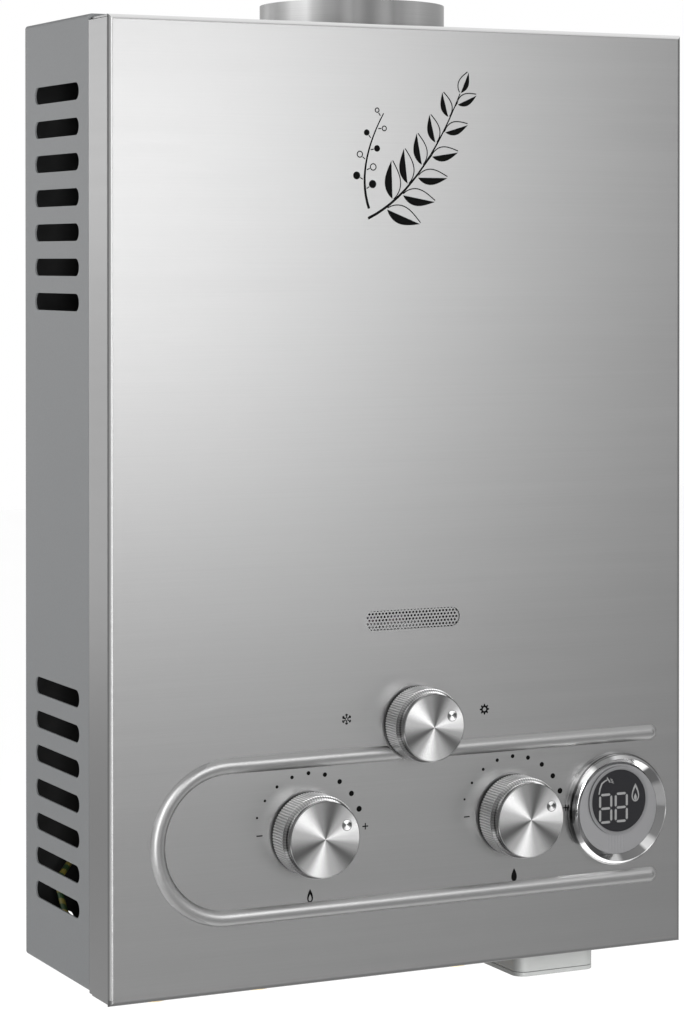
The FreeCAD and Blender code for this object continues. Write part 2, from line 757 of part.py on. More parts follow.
def bead_form(base_y, sink):
    """The C-shaped bead as solids that stand in front of base_y."""
    half = BEAD_WIDTH / 2
    crest_y = base_y - BEAD_HEIGHT
    arc_radius = (half ** 2 + BEAD_HEIGHT ** 2) / (2 * BEAD_HEIGHT)
    turn = math.asin(half / arc_radius) / 2
    middle_y = crest_y + arc_radius * (1 - math.cos(turn))
    middle_z = arc_radius * math.sin(turn)

    def section(x, z):
        """Full section in a plane square to X, about the run at height z."""
        edges = [
            Part.Arc(vec(x, base_y, z - half), vec(x, crest_y, z), vec(x, base_y, z + half)).toShape(),
            Part.LineSegment(vec(x, base_y, z + half), vec(x, base_y + sink, z + half)).toShape(),
            Part.LineSegment(vec(x, base_y + sink, z + half), vec(x, base_y + sink, z - half)).toShape(),
            Part.LineSegment(vec(x, base_y + sink, z - half), vec(x, base_y, z - half)).toShape(),
        ]
        return Part.Face(Part.Wire(edges))

    def dome(x, z):
        """Round end of a run."""
        edges = [
            Part.Arc(
                vec(x, crest_y, z), vec(x, middle_y, z + middle_z), vec(x, base_y, z + half)
            ).toShape(),
            Part.LineSegment(vec(x, base_y, z + half), vec(x, base_y + sink, z + half)).toShape(),
            Part.LineSegment(vec(x, base_y + sink, z + half), vec(x, base_y + sink, z)).toShape(),
            Part.LineSegment(vec(x, base_y + sink, z), vec(x, crest_y, z)).toShape(),
        ]
        return Part.Face(Part.Wire(edges)).revolve(vec(x, 0, z), vec(0, 1, 0), 360)

    pieces = []
    for side in (1, -1):
        z = bead_z + side * BEAD_RADIUS
        pieces.append(section(bead_turn_x, z).extrude(vec(bead_end_x - bead_turn_x, 0, 0)))
        pieces.append(dome(bead_end_x, z))
    turn = section(bead_turn_x, bead_z + BEAD_RADIUS)
    pieces.append(turn.revolve(vec(bead_turn_x, 0, bead_z), vec(0, -1, 0), 180))
    return pieces


def cover_openings():
    """Cutters for everything behind the front face."""
    deep = cover_inner_y + 1
    cutters = [
        disc_y(x, front_y - 1, deep, z, STEM_RADIUS + STEM_HOLE_CLEARANCE)
        for x, z in ((GAS_KNOB_X, knob_row_z), (WATER_KNOB_X, knob_row_z), (SEASON_KNOB_X, season_knob_z))
    ]
    cutters.append(disc_y(display_x, front_y - 1, deep, lens_z, LENS_RADIUS + LENS_HOLE_GAP))
    centre = vec(SIGHT_X, front_y + SHEET / 2, sight_z)
    cutters.append(stadium(centre, vec(1, 0, 0), vec(0, 1, 0), SIGHT_LENGTH, SIGHT_WIDTH, 4 * SHEET))
    cutters.append(disc_z(0, flue_y, cover_top - 3 * SHEET, cover_top + 1, COLLAR_RADIUS + COLLAR_GAP))
    for x in COVER_SCREW_XS:
        radius = COVER_SCREW_RADIUS + COVER_SCREW_FIT
        cutters.append(disc_z(x, cover_screw_y, cover_bottom - 1, cover_bottom + 2 * SHEET, radius))
    return cutters


def front_cover():
    """Pressed front panel with folded flanges and the C-shaped bead."""
    def pan(inset, bend, back):
        shape = box(
            inset - half_width, half_width - inset, front_y + inset, back, cover_bottom + inset,
            cover_top - inset,
        )
        rim = [edge for edge in shape.Edges if edge.BoundBox.YMax < front_y + inset + 0.001]
        return shape.makeFillet(bend, rim)

    shell = pan(0, COVER_BEND, cover_back_y).cut(pan(SHEET, COVER_BEND - SHEET, cover_back_y + 1))
    slits = []
    for x in (-half_width, half_width):
        for z in (cover_bottom, cover_top):
            slits.append(
                box(
                    x - CORNER_SLIT, x + CORNER_SLIT, front_y + COVER_BEND, cover_back_y + 1,
                    z - CORNER_SLIT, z + CORNER_SLIT,
                )
            )
    shell = shell.cut(slits)
    seat = SEASON_KNOB_RADIUS + KNOB_SEAT_GAP
    seat_outside = disc_y(SEASON_KNOB_X, front_y - BEAD_HEIGHT - 1, front_y, season_knob_z, seat)
    seat_inside = disc_y(
        SEASON_KNOB_X, front_y - BEAD_HEIGHT - 1, cover_inner_y + 2, season_knob_z, seat + SHEET
    )
    shell = shell.fuse(bead_form(front_y, SHEET / 2)).cut(seat_outside)
    groove = [piece.cut(seat_inside) for piece in bead_form(cover_inner_y, 1)]
    shell = shell.cut(groove)
    return shell.cut(cover_openings()).removeSplitter()


def cover_screws():
    """Pan-head screws that hold the cover to the lip, from below."""
    screws = []
    for x in COVER_SCREW_XS:
        y = cover_screw_y
        low = cover_bottom - SCREW_HEAD_HEIGHT
        head_radius = 2 * COVER_SCREW_RADIUS
        head = disc_z(x, y, low, cover_bottom, head_radius)
        shank = disc_z(x, y, cover_bottom, lip_bottom + SCREW_REACH, COVER_SCREW_RADIUS)
        half = SCREW_SLOT_WIDTH / 2
        slot = box(
            x - head_radius, x + head_radius, y - half, y + half, low - 1, low + SCREW_SLOT_DEPTH
        )
        screws.append(head.fuse(shank).cut(slot))
    return Part.makeCompound(screws)


def sight_screen():
    """Perforated plate behind the sight slot."""
    half_length = SIGHT_LENGTH / 2 + SCREEN_MARGIN
    half_height = SIGHT_WIDTH / 2 + SCREEN_MARGIN
    y = cover_inner_y
    corners = [(-1, -1), (1, -1), (1, 1), (-1, 1), (-1, -1)]
    outline = Part.makePolygon(
        [vec(SIGHT_X + a * half_length, y, sight_z + b * half_height) for a, b in corners]
    )
    wires = [outline]
    row_pitch = SCREEN_PITCH * math.sqrt(3) / 2
    for row, dz in enumerate(mirrored_rows(SCREEN_ROWS, row_pitch)):
        shift = SCREEN_PITCH / 2 if row % 2 else 0.0
        for dx in mirrored_rows(SCREEN_COLUMNS, SCREEN_PITCH):
            centre = vec(SIGHT_X + dx + shift, y, sight_z + dz)
            wires.append(Part.Wire(Part.makeCircle(SCREEN_HOLE_RADIUS, centre, vec(0, -1, 0))))
    return Part.Face(wires).extrude(vec(0, SCREEN_THICKNESS, 0))


save("rear_housing", rear_housing())
save("front_cover", front_cover())
save("cover_screws", cover_screws())
save("sight_screen", sight_screen())


# Flue

def flue_collar():
    """Round outlet that stands through the notch in the casing; its socket fits over the neck."""
    outside = disc_z(0, flue_y, hood_top, collar_top, COLLAR_RADIUS)
    socket = disc_z(0, flue_y, hood_top - 1, neck_top, COLLAR_RADIUS - COLLAR_SOCKET_WALL)
    bore = disc_z(0, flue_y, neck_top - 1, collar_top + 1, COLLAR_RADIUS - COLLAR_WALL)
    return outside.cut([socket, bore])


def level_outline(half, front, back, z):
    """A rectangle in a level plane."""
    corners = [(-half, front), (half, front), (half, back), (-half, back), (-half, front)]
    return Part.makePolygon([vec(x, y, z) for x, y in corners])


def hood_block(inset, base):
    """Upright foot over the shell, then four sloping sides up to a flat top."""
    knee = hood_base + HOOD_FOOT
    foot = (chamber_half - inset, chamber_front + inset, chamber_back - inset)
    reach = COLLAR_RADIUS - inset
    top = (reach + HOOD_TOP_MARGIN, flue_y - reach, flue_y + reach)
    upright = Part.Face(level_outline(*foot, base)).extrude(vec(0, 0, knee - base))
    slope = Part.makeLoft([level_outline(*foot, knee), level_outline(*top, hood_top - inset)], True, True)
    return upright.fuse(slope)


def flue_hood():
    """Gathers the burnt gas above the fins and leads it into the collar."""
    shell = hood_block(0, hood_base).cut(hood_block(HOOD_WALL, hood_base - 1))
    neck_radius = COLLAR_RADIUS - COLLAR_SOCKET_WALL - COLLAR_SLIP
    neck = disc_z(0, flue_y, hood_top - HOOD_WALL, neck_top, neck_radius)
    way = disc_z(0, flue_y, hood_top - 2, neck_top + 1, neck_radius - HOOD_WALL)
    flange = box(
        -chamber_half - FLANGE_WIDTH,
        chamber_half + FLANGE_WIDTH,
        chamber_front - FLANGE_WIDTH,
        chamber_back + FLANGE_WIDTH,
        hood_base,
        hood_base + HOOD_WALL,
    )
    mouth = hood_block(HOOD_WALL, hood_base - 1)
    return shell.fuse(neck).cut(way).fuse(flange.cut(mouth)).removeSplitter()


save("flue_collar", flue_collar())
save("flue_hood", flue_hood())


# Heat exchanger

fin_tube_rows = [chamber_y + dy for dy in mirrored_rows(FIN_TUBE_ROWS, fin_tube_pitch)]


def exchanger_shell():
    """Copper box with a flange on top, pierced by the finned tubes."""
    outer = box(
        -chamber_half, chamber_half, chamber_front, chamber_back, chamber_bottom, chamber_top
    )
    corner = TUBE_BEND - TUBE_RADIUS - TUBE_GAP
    outer = rounded(outer, vec(0, 0, 1), corner)
    flange = box(
        -chamber_half - FLANGE_WIDTH,
        chamber_half + FLANGE_WIDTH,
        chamber_front - FLANGE_WIDTH,
        chamber_back + FLANGE_WIDTH,
        chamber_top - CHAMBER_WALL,
        chamber_top,
    )
    inner = box(
        CHAMBER_WALL - chamber_half,
        chamber_half - CHAMBER_WALL,
        chamber_front + CHAMBER_WALL,
        chamber_back - CHAMBER_WALL,
        chamber_bottom - 1,
        chamber_top + 1,
    )
    inner = rounded(inner, vec(0, 0, 1), corner - CHAMBER_WALL)
    holes = [
        disc_x(-chamber_half - 1, chamber_half + 1, y, fin_tube_z, TUBE_RADIUS + TUBE_FIT)
        for y in fin_tube_rows
    ]
    return outer.fuse(flange).cut([inner] + holes).removeSplitter()


def exchanger_fins():
    """Thin plates on the tubes in the top of the shell."""
    front = chamber_front + CHAMBER_WALL + FIN_EDGE_GAP
    back = chamber_back - CHAMBER_WALL - FIN_EDGE_GAP
    low = fin_top - FIN_HEIGHT
    x = -FIN_THICKNESS / 2
    corners = [(front, low), (back, low), (back, fin_top), (front, fin_top), (front, low)]
    wires = [Part.makePolygon([vec(x, y, z) for y, z in corners])]
    for y in fin_tube_rows:
        circle = Part.makeCircle(TUBE_RADIUS + TUBE_FIT, vec(x, y, fin_tube_z), vec(1, 0, 0))
        wires.append(Part.Wire(circle))
    fin = Part.Face(wires).extrude(vec(FIN_THICKNESS, 0, 0))
    fins = []
    for place in mirrored_rows(FIN_COUNT, FIN_PITCH):
        copy = fin.copy()
        copy.translate(vec(place, 0, 0))
        fins.append(copy)
    return Part.makeCompound(fins)


def coil_points():
    """The water's way: round the shell and back and forth through the fins."""
    points = [(coil_x, cold_y, cold_union_z), (coil_x, cold_y, coil_start)]
    bends = [TUBE_BEND]
    z = coil_start
    for turn in range(COIL_TURNS):
        points.append((coil_x, coil_front, z))
        points.append((-coil_x, coil_front, z))
        bends += [TUBE_BEND, TUBE_BEND]
        if turn < COIL_TURNS - 1:
            points.append((-coil_x, coil_back, z))
            z += coil_rise
            points.append((coil_x, coil_back, z))
            bends += [TUBE_BEND, TUBE_BEND]
    rows = list(reversed(fin_tube_rows))
    climb_x = -chamber_half - TUBE_BEND - CLIMB_GAP
    points.append((climb_x, rows[0], z))
    points.append((climb_x, rows[0], fin_tube_z))
    bends += [TUBE_BEND, TUBE_BEND]
    reach = chamber_half + FIN_TUBE_OVERHANG + fin_tube_pitch / 2
    side = 1
    for this_row, next_row in zip(rows, rows[1:]):
        points.append((side * reach, this_row, fin_tube_z))
        points.append((side * reach, next_row, fin_tube_z))
        bends += [fin_tube_pitch / 2, fin_tube_pitch / 2]
        side = -side
    points.append((HOT_X, rows[-1], fin_tube_z))
    bends.append(TUBE_BEND)
    points.append((HOT_X, rows[-1], hot_union_z))
    return points, bends


def exchanger_tubes():
    points, bends = coil_points()
    return tube(points, bends, TUBE_RADIUS, TUBE_WALL)


def hot_pipe():
    """From the finned tubes down to the hot outlet."""
    y = fin_tube_rows[0]
    points = [
        (HOT_X, y, hot_union_z),
        (HOT_X, y, chamber_bottom),
        (HOT_X, NIPPLE_Y, chamber_bottom - HOT_PIPE_SET),
        (HOT_X, NIPPLE_Y, hot_nipple_top),
    ]
    return tube(points, TUBE_BEND, TUBE_RADIUS, TUBE_WALL)


def cold_pipe():
    """From the water valve up to the start of the coil."""
    points = [
        (WATER_KNOB_X, cold_y, water_valve_top),
        (WATER_KNOB_X, cold_y, cold_level),
        (coil_x, cold_y, cold_level),
        (coil_x, cold_y, cold_union_z),
    ]
    return tube(points, TUBE_BEND, TUBE_RADIUS, TUBE_WALL)


save("exchanger_shell", exchanger_shell())
save("exchanger_fins", exchanger_fins())
save("exchanger_tubes", exchanger_tubes())
save("hot_pipe", hot_pipe())
save("cold_pipe", cold_pipe())


# Burner

def burner_bars():
    """Slotted steel burners, side by side."""
    bars = []
    for x in mirrored_rows(BURNER_BAR_COUNT, BURNER_BAR_PITCH):
        half = BURNER_BAR_WIDTH / 2
        bar = box(x - half, x + half, burner_front, burner_back, burner_bottom, burner_top)
        bar = rounded(bar, vec(0, 1, 0), BURNER_BAR_EDGE)
        mouth = disc_y(
            x, burner_front - 1, burner_front + MIXING_LENGTH, nozzle_z, half - BURNER_BAR_WALL
        )
        cuts = [mouth]
        for y in mirrored_rows(FLAME_SLOT_COUNT, BURNER_DEPTH / (FLAME_SLOT_COUNT + 1)):
            place = burner_y + y
            cuts.append(
                box(
                    x - FLAME_SLOT_LENGTH / 2, x + FLAME_SLOT_LENGTH / 2, place - FLAME_SLOT_WIDTH / 2,
                    place + FLAME_SLOT_WIDTH / 2, burner_top - FLAME_SLOT_DEPTH, burner_top + 1,
                )
            )
        bars.append(bar.cut(cuts))
    return Part.makeCompound(bars)


def electrode_tab(x):
    """Upright tab on the front of the frame that holds one electrode."""
    half = ELECTRODE_TAB_WIDTH / 2
    front = frame_front - BURNER_FRAME_WALL
    plate = box(
        x - half, x + half, front, frame_front, frame_top - ELECTRODE_TAB_LAP,
        electrode_z + ELECTRODE_TAB_ABOVE,
    )
    return plate.cut(disc_y(x, front - 1, frame_front + 1, electrode_z, CERAMIC_RADIUS + ELECTRODE_FIT))


def burner_frame():
    """Steel frame that holds the burners and carries the shell."""
    wall = BURNER_FRAME_WALL
    ring = box(-chamber_half, chamber_half, frame_front, burner_back + wall, frame_bottom, frame_top)
    cheeks = [
        box(x, x + wall, frame_front, burner_back + wall, frame_bottom, chamber_bottom)
        for x in (-chamber_half, chamber_half - wall)
    ]
    room = box(
        wall - chamber_half, chamber_half - wall, burner_front, burner_back, frame_bottom - 1,
        chamber_bottom + 1,
    )
    holes = [
        disc_y(x, frame_front - 1, burner_front + 1, nozzle_z, NOZZLE_RADIUS + NOZZLE_CLEARANCE)
        for x in mirrored_rows(BURNER_BAR_COUNT, BURNER_BAR_PITCH)
    ]
    tabs = [electrode_tab(x) for x in (-ELECTRODE_X, ELECTRODE_X)]
    return ring.fuse(cheeks).cut([room] + holes).fuse(tabs).removeSplitter()


def gas_manifold():
    """Square rail that feeds the nozzles."""
    top = manifold_bottom + MANIFOLD_SIZE
    rail = box(-manifold_half, manifold_half, manifold_front, manifold_back, manifold_bottom, top)
    wall = MANIFOLD_WALL
    hollow = box(
        wall - manifold_half, manifold_half - wall, manifold_front + wall, manifold_back - wall,
        manifold_bottom + wall, top - wall,
    )
    holes = [
        disc_y(x, manifold_back - 2 * wall, manifold_back + 1, nozzle_z, NOZZLE_RADIUS)
        for x in mirrored_rows(BURNER_BAR_COUNT, BURNER_BAR_PITCH)
    ]
    inlet = disc_z(SEASON_KNOB_X, manifold_y, manifold_bottom - 1, manifold_bottom + 2 * wall, BOSS_BORE)
    return rail.cut([hollow, inlet] + holes)


def gas_nozzles():
    """Brass jets screwed into the rail, one for each burner."""
    jets = []
    for x in mirrored_rows(BURNER_BAR_COUNT, BURNER_BAR_PITCH):
        shank = disc_y(x, manifold_back - MANIFOLD_WALL, manifold_back, nozzle_z, NOZZLE_RADIUS)
        head = disc_y(x, manifold_back, manifold_back + NOZZLE_REACH, nozzle_z, NOZZLE_RADIUS)
        bore = disc_y(
            x, manifold_back - MANIFOLD_WALL - 1, manifold_back + NOZZLE_REACH + 1, nozzle_z, NOZZLE_BORE
        )
        jets.append(shank.fuse(head).cut(bore).removeSplitter())
    return Part.makeCompound(jets)


def z_bracket(x, front, level):
    """A strap with a flange at each end, from a piece to the back wall."""
    left, right = x - BRACKET_WIDTH / 2, x + BRACKET_WIDTH / 2
    thick = BRACKET_THICKNESS
    strap = box(left, right, front, wall_y, level, level + thick)
    foot = box(left, right, wall_y - thick, wall_y, level - BRACKET_FLANGE, level + thick)
    toe = box(left, right, front, front + thick, level - BRACKET_FLANGE, level + thick)
    return strap.fuse([foot, toe]).removeSplitter()


def chamber_brackets():
    """Two straps carry the burner frame and two carry the shell."""
    straps = []
    for x in (-BRACKET_X, BRACKET_X):
        straps.append(z_bracket(x, burner_back + BURNER_FRAME_WALL, frame_bottom + LOWER_STRAP_RISE))
        straps.append(z_bracket(x, chamber_back, fin_top - UPPER_STRAP_DROP))
    return Part.makeCompound(straps)


save("burner_bars", burner_bars())
save("burner_frame", burner_frame())
save("gas_manifold", gas_manifold())
save("gas_nozzles", gas_nozzles())
save("chamber_brackets", chamber_brackets())


# Valves and bottom fittings

def nipple(x, top):
    """Threaded connection with a flange under the floor and a neck through it."""
    flange_low = case_bottom - NIPPLE_FLANGE_THICKNESS
    thread = disc_z(x, NIPPLE_Y, flange_low - NIPPLE_LENGTH, flange_low, NIPPLE_RADIUS)
    flange = disc_z(x, NIPPLE_Y, flange_low, case_bottom, NIPPLE_FLANGE_RADIUS)
    neck = disc_z(x, NIPPLE_Y, case_bottom, top, NIPPLE_NECK)
    bore = disc_z(x, NIPPLE_Y, flange_low - NIPPLE_LENGTH - 1, flange_low, NIPPLE_BORE)
    narrow = disc_z(x, NIPPLE_Y, flange_low - 1, top + 1, NIPPLE_NECK_BORE)
    return thread.fuse([flange, neck]).cut([bore, narrow]).removeSplitter()


def pipe_nipples():
    """Hot water, gas and cold water connections, from left to right."""
    tops = ((HOT_X, hot_nipple_top), (GAS_KNOB_X, gas_valve_bottom), (WATER_KNOB_X, water_valve_bottom))
    return Part.makeCompound([nipple(x, top) for x, top in tops])


def pipe_nuts():
    """Locknuts on the nipples, and union nuts where the pipes meet."""
    neck_bore = NIPPLE_NECK + LOCKNUT_FIT
    tube_bore = TUBE_RADIUS + TUBE_FIT
    nuts = [
        hexagon(x, NIPPLE_Y, floor_z, floor_z + LOCKNUT_HEIGHT, LOCKNUT_SIZE, neck_bore)
        for x in (HOT_X, GAS_KNOB_X, WATER_KNOB_X)
    ]
    unions = (
        (HOT_X, fin_tube_rows[0], hot_union_z - UNION_HEIGHT / 2),
        (WATER_KNOB_X, cold_y, water_valve_top),
        (HOT_X, NIPPLE_Y, hot_nipple_top),
    )
    for x, y, z in unions:
        nuts.append(hexagon(x, y, z, z + UNION_HEIGHT, UNION_SIZE, tube_bore))
    return Part.makeCompound(nuts)


def stem_bore(x, z, front):
    """Cutter for the bore that a control stem turns in."""
    return disc_y(x, front - BONNET_LENGTH - 1, front + STEM_DEPTH, z, STEM_RADIUS + STEM_FIT)


def bonnet(x, z, front):
    return disc_y(x, front - BONNET_LENGTH, front, z, BONNET_RADIUS)


def gas_valve_body():
    """Cast block with the gas inlet below, the outlet on top and the rod's bore at the right."""
    left = GAS_KNOB_X - GAS_VALVE_WIDTH / 2
    block = box(left, gas_valve_right, gas_valve_front, gas_valve_back, gas_valve_bottom, gas_valve_top)
    block = rounded(block, vec(0, 1, 0), GAS_VALVE_EDGE)
    cuts = [
        stem_bore(GAS_KNOB_X, knob_row_z, gas_valve_front),
        disc_z(GAS_KNOB_X, NIPPLE_Y, gas_valve_bottom - 1, gas_valve_bottom + PORT_DEPTH, PORT_RADIUS),
        disc_z(GAS_KNOB_X, riser_y, gas_valve_top - PORT_DEPTH, gas_valve_top + 1, PORT_RADIUS),
        disc_x(rod_bore_left, gas_valve_right + 1, rod_y, knob_row_z, ROD_RADIUS + ROD_FIT),
    ]
    return block.fuse(bonnet(GAS_KNOB_X, knob_row_z, gas_valve_front)).cut(cuts).removeSplitter()


def solenoid_valve():
    """Coil that holds the safety valve open, on the back of the gas valve."""
    z = knob_row_z - SOLENOID_DROP
    half = SOLENOID_PLATE / 2
    plate_back = gas_valve_back + SOLENOID_PLATE_THICKNESS
    coil = disc_y(GAS_KNOB_X, plate_back, wall_y - SOLENOID_WALL_GAP, z, SOLENOID_RADIUS)
    plate = box(GAS_KNOB_X - half, GAS_KNOB_X + half, gas_valve_back, plate_back, z - half, z + half)
    return coil.fuse(rounded(plate, vec(0, 1, 0), SOLENOID_PLATE_EDGE)).removeSplitter()


def season_valve_body():
    """Opens one part or all of the burner; it carries the rail on its top."""
    half = SEASON_VALVE_WIDTH / 2
    block = box(
        SEASON_KNOB_X - half, SEASON_KNOB_X + half, season_valve_front,
        season_valve_front + SEASON_VALVE_DEPTH, season_valve_bottom, season_valve_top,
    )
    block = rounded(block, vec(0, 1, 0), SEASON_VALVE_EDGE)
    boss = box(
        SEASON_KNOB_X - BOSS_WIDTH / 2, SEASON_KNOB_X + BOSS_WIDTH / 2, manifold_front, manifold_back,
        season_valve_top - 1, manifold_bottom,
    )
    port_left = SEASON_KNOB_X - half
    cuts = [
        stem_bore(SEASON_KNOB_X, season_knob_z, season_valve_front),
        disc_z(SEASON_KNOB_X, manifold_y, season_valve_top - BOSS_BORE_DEPTH, manifold_bottom + 1, BOSS_BORE),
        disc_x(port_left - 1, port_left + SEASON_PORT_DEPTH, riser_y, season_knob_z, PORT_RADIUS),
    ]
    return (
        block.fuse([boss, bonnet(SEASON_KNOB_X, season_knob_z, season_valve_front)])
        .cut(cuts)
        .removeSplitter()
    )


def gas_riser():
    """From the gas valve to the season valve."""
    points = [
        (GAS_KNOB_X, riser_y, gas_valve_top),
        (GAS_KNOB_X, riser_y, season_knob_z),
        (SEASON_KNOB_X - SEASON_VALVE_WIDTH / 2, riser_y, season_knob_z),
    ]
    return tube(points, TUBE_BEND, TUBE_RADIUS, TUBE_WALL)


def flange_screw_places():
    """Centres of the screws round the diaphragm housing, as Y and Z."""
    reach = DIAPHRAGM_RADIUS - FLANGE_SCREW_INSET
    turns = [(k + 0.5) * 2 * math.pi / FLANGE_SCREW_COUNT for k in range(FLANGE_SCREW_COUNT)]
    return [(rod_y + reach * math.cos(a), knob_row_z + reach * math.sin(a)) for a in turns]


def water_valve_body():
    """Cast body with the inlet below, the outlet on top and a round flange at the left."""
    back = water_valve_front + WATER_VALVE_DEPTH
    block = box(
        water_valve_left, water_valve_left + WATER_VALVE_WIDTH, water_valve_front, back,
        water_valve_bottom, water_valve_top,
    )
    block = rounded(block, vec(0, 1, 0), WATER_VALVE_EDGE)
    flange = disc_x(diaphragm_right, water_valve_left + 1, rod_y, knob_row_z, DIAPHRAGM_RADIUS)
    cuts = [
        stem_bore(WATER_KNOB_X, knob_row_z, water_valve_front),
        disc_z(WATER_KNOB_X, NIPPLE_Y, water_valve_bottom - 1, water_valve_bottom + PORT_DEPTH, PORT_RADIUS),
        disc_z(WATER_KNOB_X, cold_y, water_valve_top - PORT_DEPTH, water_valve_top + 1, PORT_RADIUS),
        disc_x(
            diaphragm_right - 1, diaphragm_right + BODY_CHAMBER_DEPTH, rod_y, knob_row_z,
            DIAPHRAGM_CHAMBER_RADIUS,
        ),
        disc_z(
            drain_x, drain_y, water_valve_bottom - 1, water_valve_bottom + DRAIN_PORT_DEPTH,
            DRAIN_SHAFT_RADIUS,
        ),
    ]
    for y, z in flange_screw_places():
        cuts.append(disc_x(diaphragm_right - 1, water_valve_left, y, z, FLANGE_SCREW_RADIUS))
    shape = block.fuse([flange, bonnet(WATER_KNOB_X, knob_row_z, water_valve_front)])
    return shape.cut(cuts).removeSplitter()


def water_valve_cap():
    """Half of the diaphragm housing, with the guide for the push rod."""
    disc = disc_x(diaphragm_cap_left, diaphragm_left, rod_y, knob_row_z, DIAPHRAGM_RADIUS)
    guide = disc_x(rod_guide_left, diaphragm_cap_left, rod_y, knob_row_z, ROD_GUIDE_RADIUS)
    cuts = [
        disc_x(rod_guide_left - 1, diaphragm_left, rod_y, knob_row_z, ROD_RADIUS + ROD_FIT),
        disc_x(
            diaphragm_left - DIAPHRAGM_CHAMBER_DEPTH, diaphragm_left + 1, rod_y, knob_row_z,
            DIAPHRAGM_CHAMBER_RADIUS,
        ),
    ]
    for y, z in flange_screw_places():
        cuts.append(disc_x(diaphragm_cap_left - 1, diaphragm_left + 1, y, z, FLANGE_SCREW_RADIUS))
    return disc.fuse(guide).cut(cuts).removeSplitter()


def water_diaphragm():
    """Rubber disc between the two halves."""
    radius = DIAPHRAGM_RADIUS - DIAPHRAGM_EDGE_GAP
    disc = disc_x(diaphragm_left, diaphragm_right, rod_y, knob_row_z, radius)
    holes = [
        disc_x(diaphragm_left - 1, diaphragm_right + 1, y, z, FLANGE_SCREW_RADIUS)
        for y, z in flange_screw_places()
    ]
    return disc.cut(holes)


def diaphragm_screws():
    screws = []
    for y, z in flange_screw_places():
        head_left = diaphragm_cap_left - FLANGE_SCREW_HEAD
        head = disc_x(head_left, diaphragm_cap_left, y, z, FLANGE_SCREW_HEAD_RADIUS)
        tip = water_valve_left - FLANGE_SCREW_END_GAP
        shank = disc_x(diaphragm_cap_left, tip, y, z, FLANGE_SCREW_RADIUS - FLANGE_SCREW_FIT)
        screws.append(head.fuse(shank).removeSplitter())
    return Part.makeCompound(screws)


def drain_valve():
    """Brass tube from the water valve through the floor."""
    low = case_bottom - DRAIN_BELOW
    body = disc_z(drain_x, drain_y, low, water_valve_bottom, DRAIN_RADIUS)
    bore = disc_z(drain_x, drain_y, low - 1, water_valve_bottom + 1, DRAIN_SHAFT_RADIUS + DRAIN_FIT)
    return body.cut(bore)


def drain_plug():
    """Winged plug that turns in the drain valve."""
    head_top = case_bottom - DRAIN_BELOW - DRAIN_GAP
    disc_low = head_top - DRAIN_DISC
    head = disc_z(drain_x, drain_y, disc_low, head_top, DRAIN_HEAD_RADIUS)
    half = DRAIN_HEAD_RADIUS - DRAIN_WING_INSET
    wing = box(
        drain_x - DRAIN_WING / 2, drain_x + DRAIN_WING / 2, drain_y - half, drain_y + half,
        head_top - DRAIN_HEAD_HEIGHT, disc_low,
    )
    shaft = disc_z(drain_x, drain_y, head_top, head_top + DRAIN_SHAFT_LENGTH, DRAIN_SHAFT_RADIUS)
    return head.fuse([wing, shaft]).removeSplitter()


save("pipe_nipples", pipe_nipples())
save("pipe_nuts", pipe_nuts())
save("gas_valve_body", gas_valve_body())
save("solenoid_valve", solenoid_valve())
save("season_valve_body", season_valve_body())
save("gas_riser", gas_riser())
save("water_valve_body", water_valve_body())
save("water_valve_cap", water_valve_cap())
save("water_diaphragm", water_diaphragm())
save("diaphragm_screws", diaphragm_screws())
save("drain_valve", drain_valve())
save("drain_plug", drain_plug())


# Push rod and its switch

def push_rod():
    """The water pushes it to the left, and it opens the gas valve and trips the switch."""
    rod = disc_x(rod_left, rod_right, rod_y, knob_row_z, ROD_RADIUS)
    plate = disc_x(rod_right - ROD_PLATE_THICKNESS, rod_right, rod_y, knob_row_z, ROD_PLATE_RADIUS)
    collar = disc_x(
        collar_left, collar_left + ROD_COLLAR_LENGTH, rod_y, knob_row_z, ROD_COLLAR_RADIUS
    )
    seat = disc_x(
        spring_seat_x, spring_seat_x + SPRING_SEAT_THICKNESS, rod_y, knob_row_z, SPRING_SEAT_RADIUS
    )
    return rod.fuse([plate, collar, seat]).removeSplitter()


def rod_spring():
    """Returns the rod; it sits between the gas valve and the seat on the rod."""
    length = spring_seat_x - gas_valve_right
    spring = coil_z(0, 0, 0, length, SPRING_RADIUS, SPRING_WIRE, SPRING_TURNS)
    spring.rotate(vec(0, 0, 0), vec(0, 1, 0), 90)
    spring.translate(vec(gas_valve_right, rod_y, knob_row_z))
    return spring


def microswitch():
    left = LEVER_X - SWITCH_BEFORE_PIN
    half = SWITCH_THICKNESS / 2
    body = box(left, left + SWITCH_LENGTH, rod_y - half, rod_y + half, switch_bottom, switch_top)
    pin_hole = disc_y(
        LEVER_X, rod_y - half - 1, rod_y + half + 1, lever_pivot_z, LEVER_PIN_RADIUS + ROD_FIT
    )
    return rounded(body, vec(0, 1, 0), SWITCH_EDGE).cut(pin_hole)


def switch_bracket():
    """Hangs the switch under the season valve."""
    half = SWITCH_THICKNESS / 2
    right = LEVER_X - SWITCH_BEFORE_PIN + SWITCH_LENGTH
    left = right - SWITCH_BRACKET_WIDTH
    leaf = box(left, right, rod_y + half, rod_y + half + SWITCH_BRACKET, switch_bottom, season_valve_bottom)
    top = box(
        left, right, rod_y - half - SWITCH_BRACKET_LAP, rod_y + half + SWITCH_BRACKET,
        season_valve_bottom - SWITCH_BRACKET, season_valve_bottom,
    )
    return leaf.fuse(top).removeSplitter()


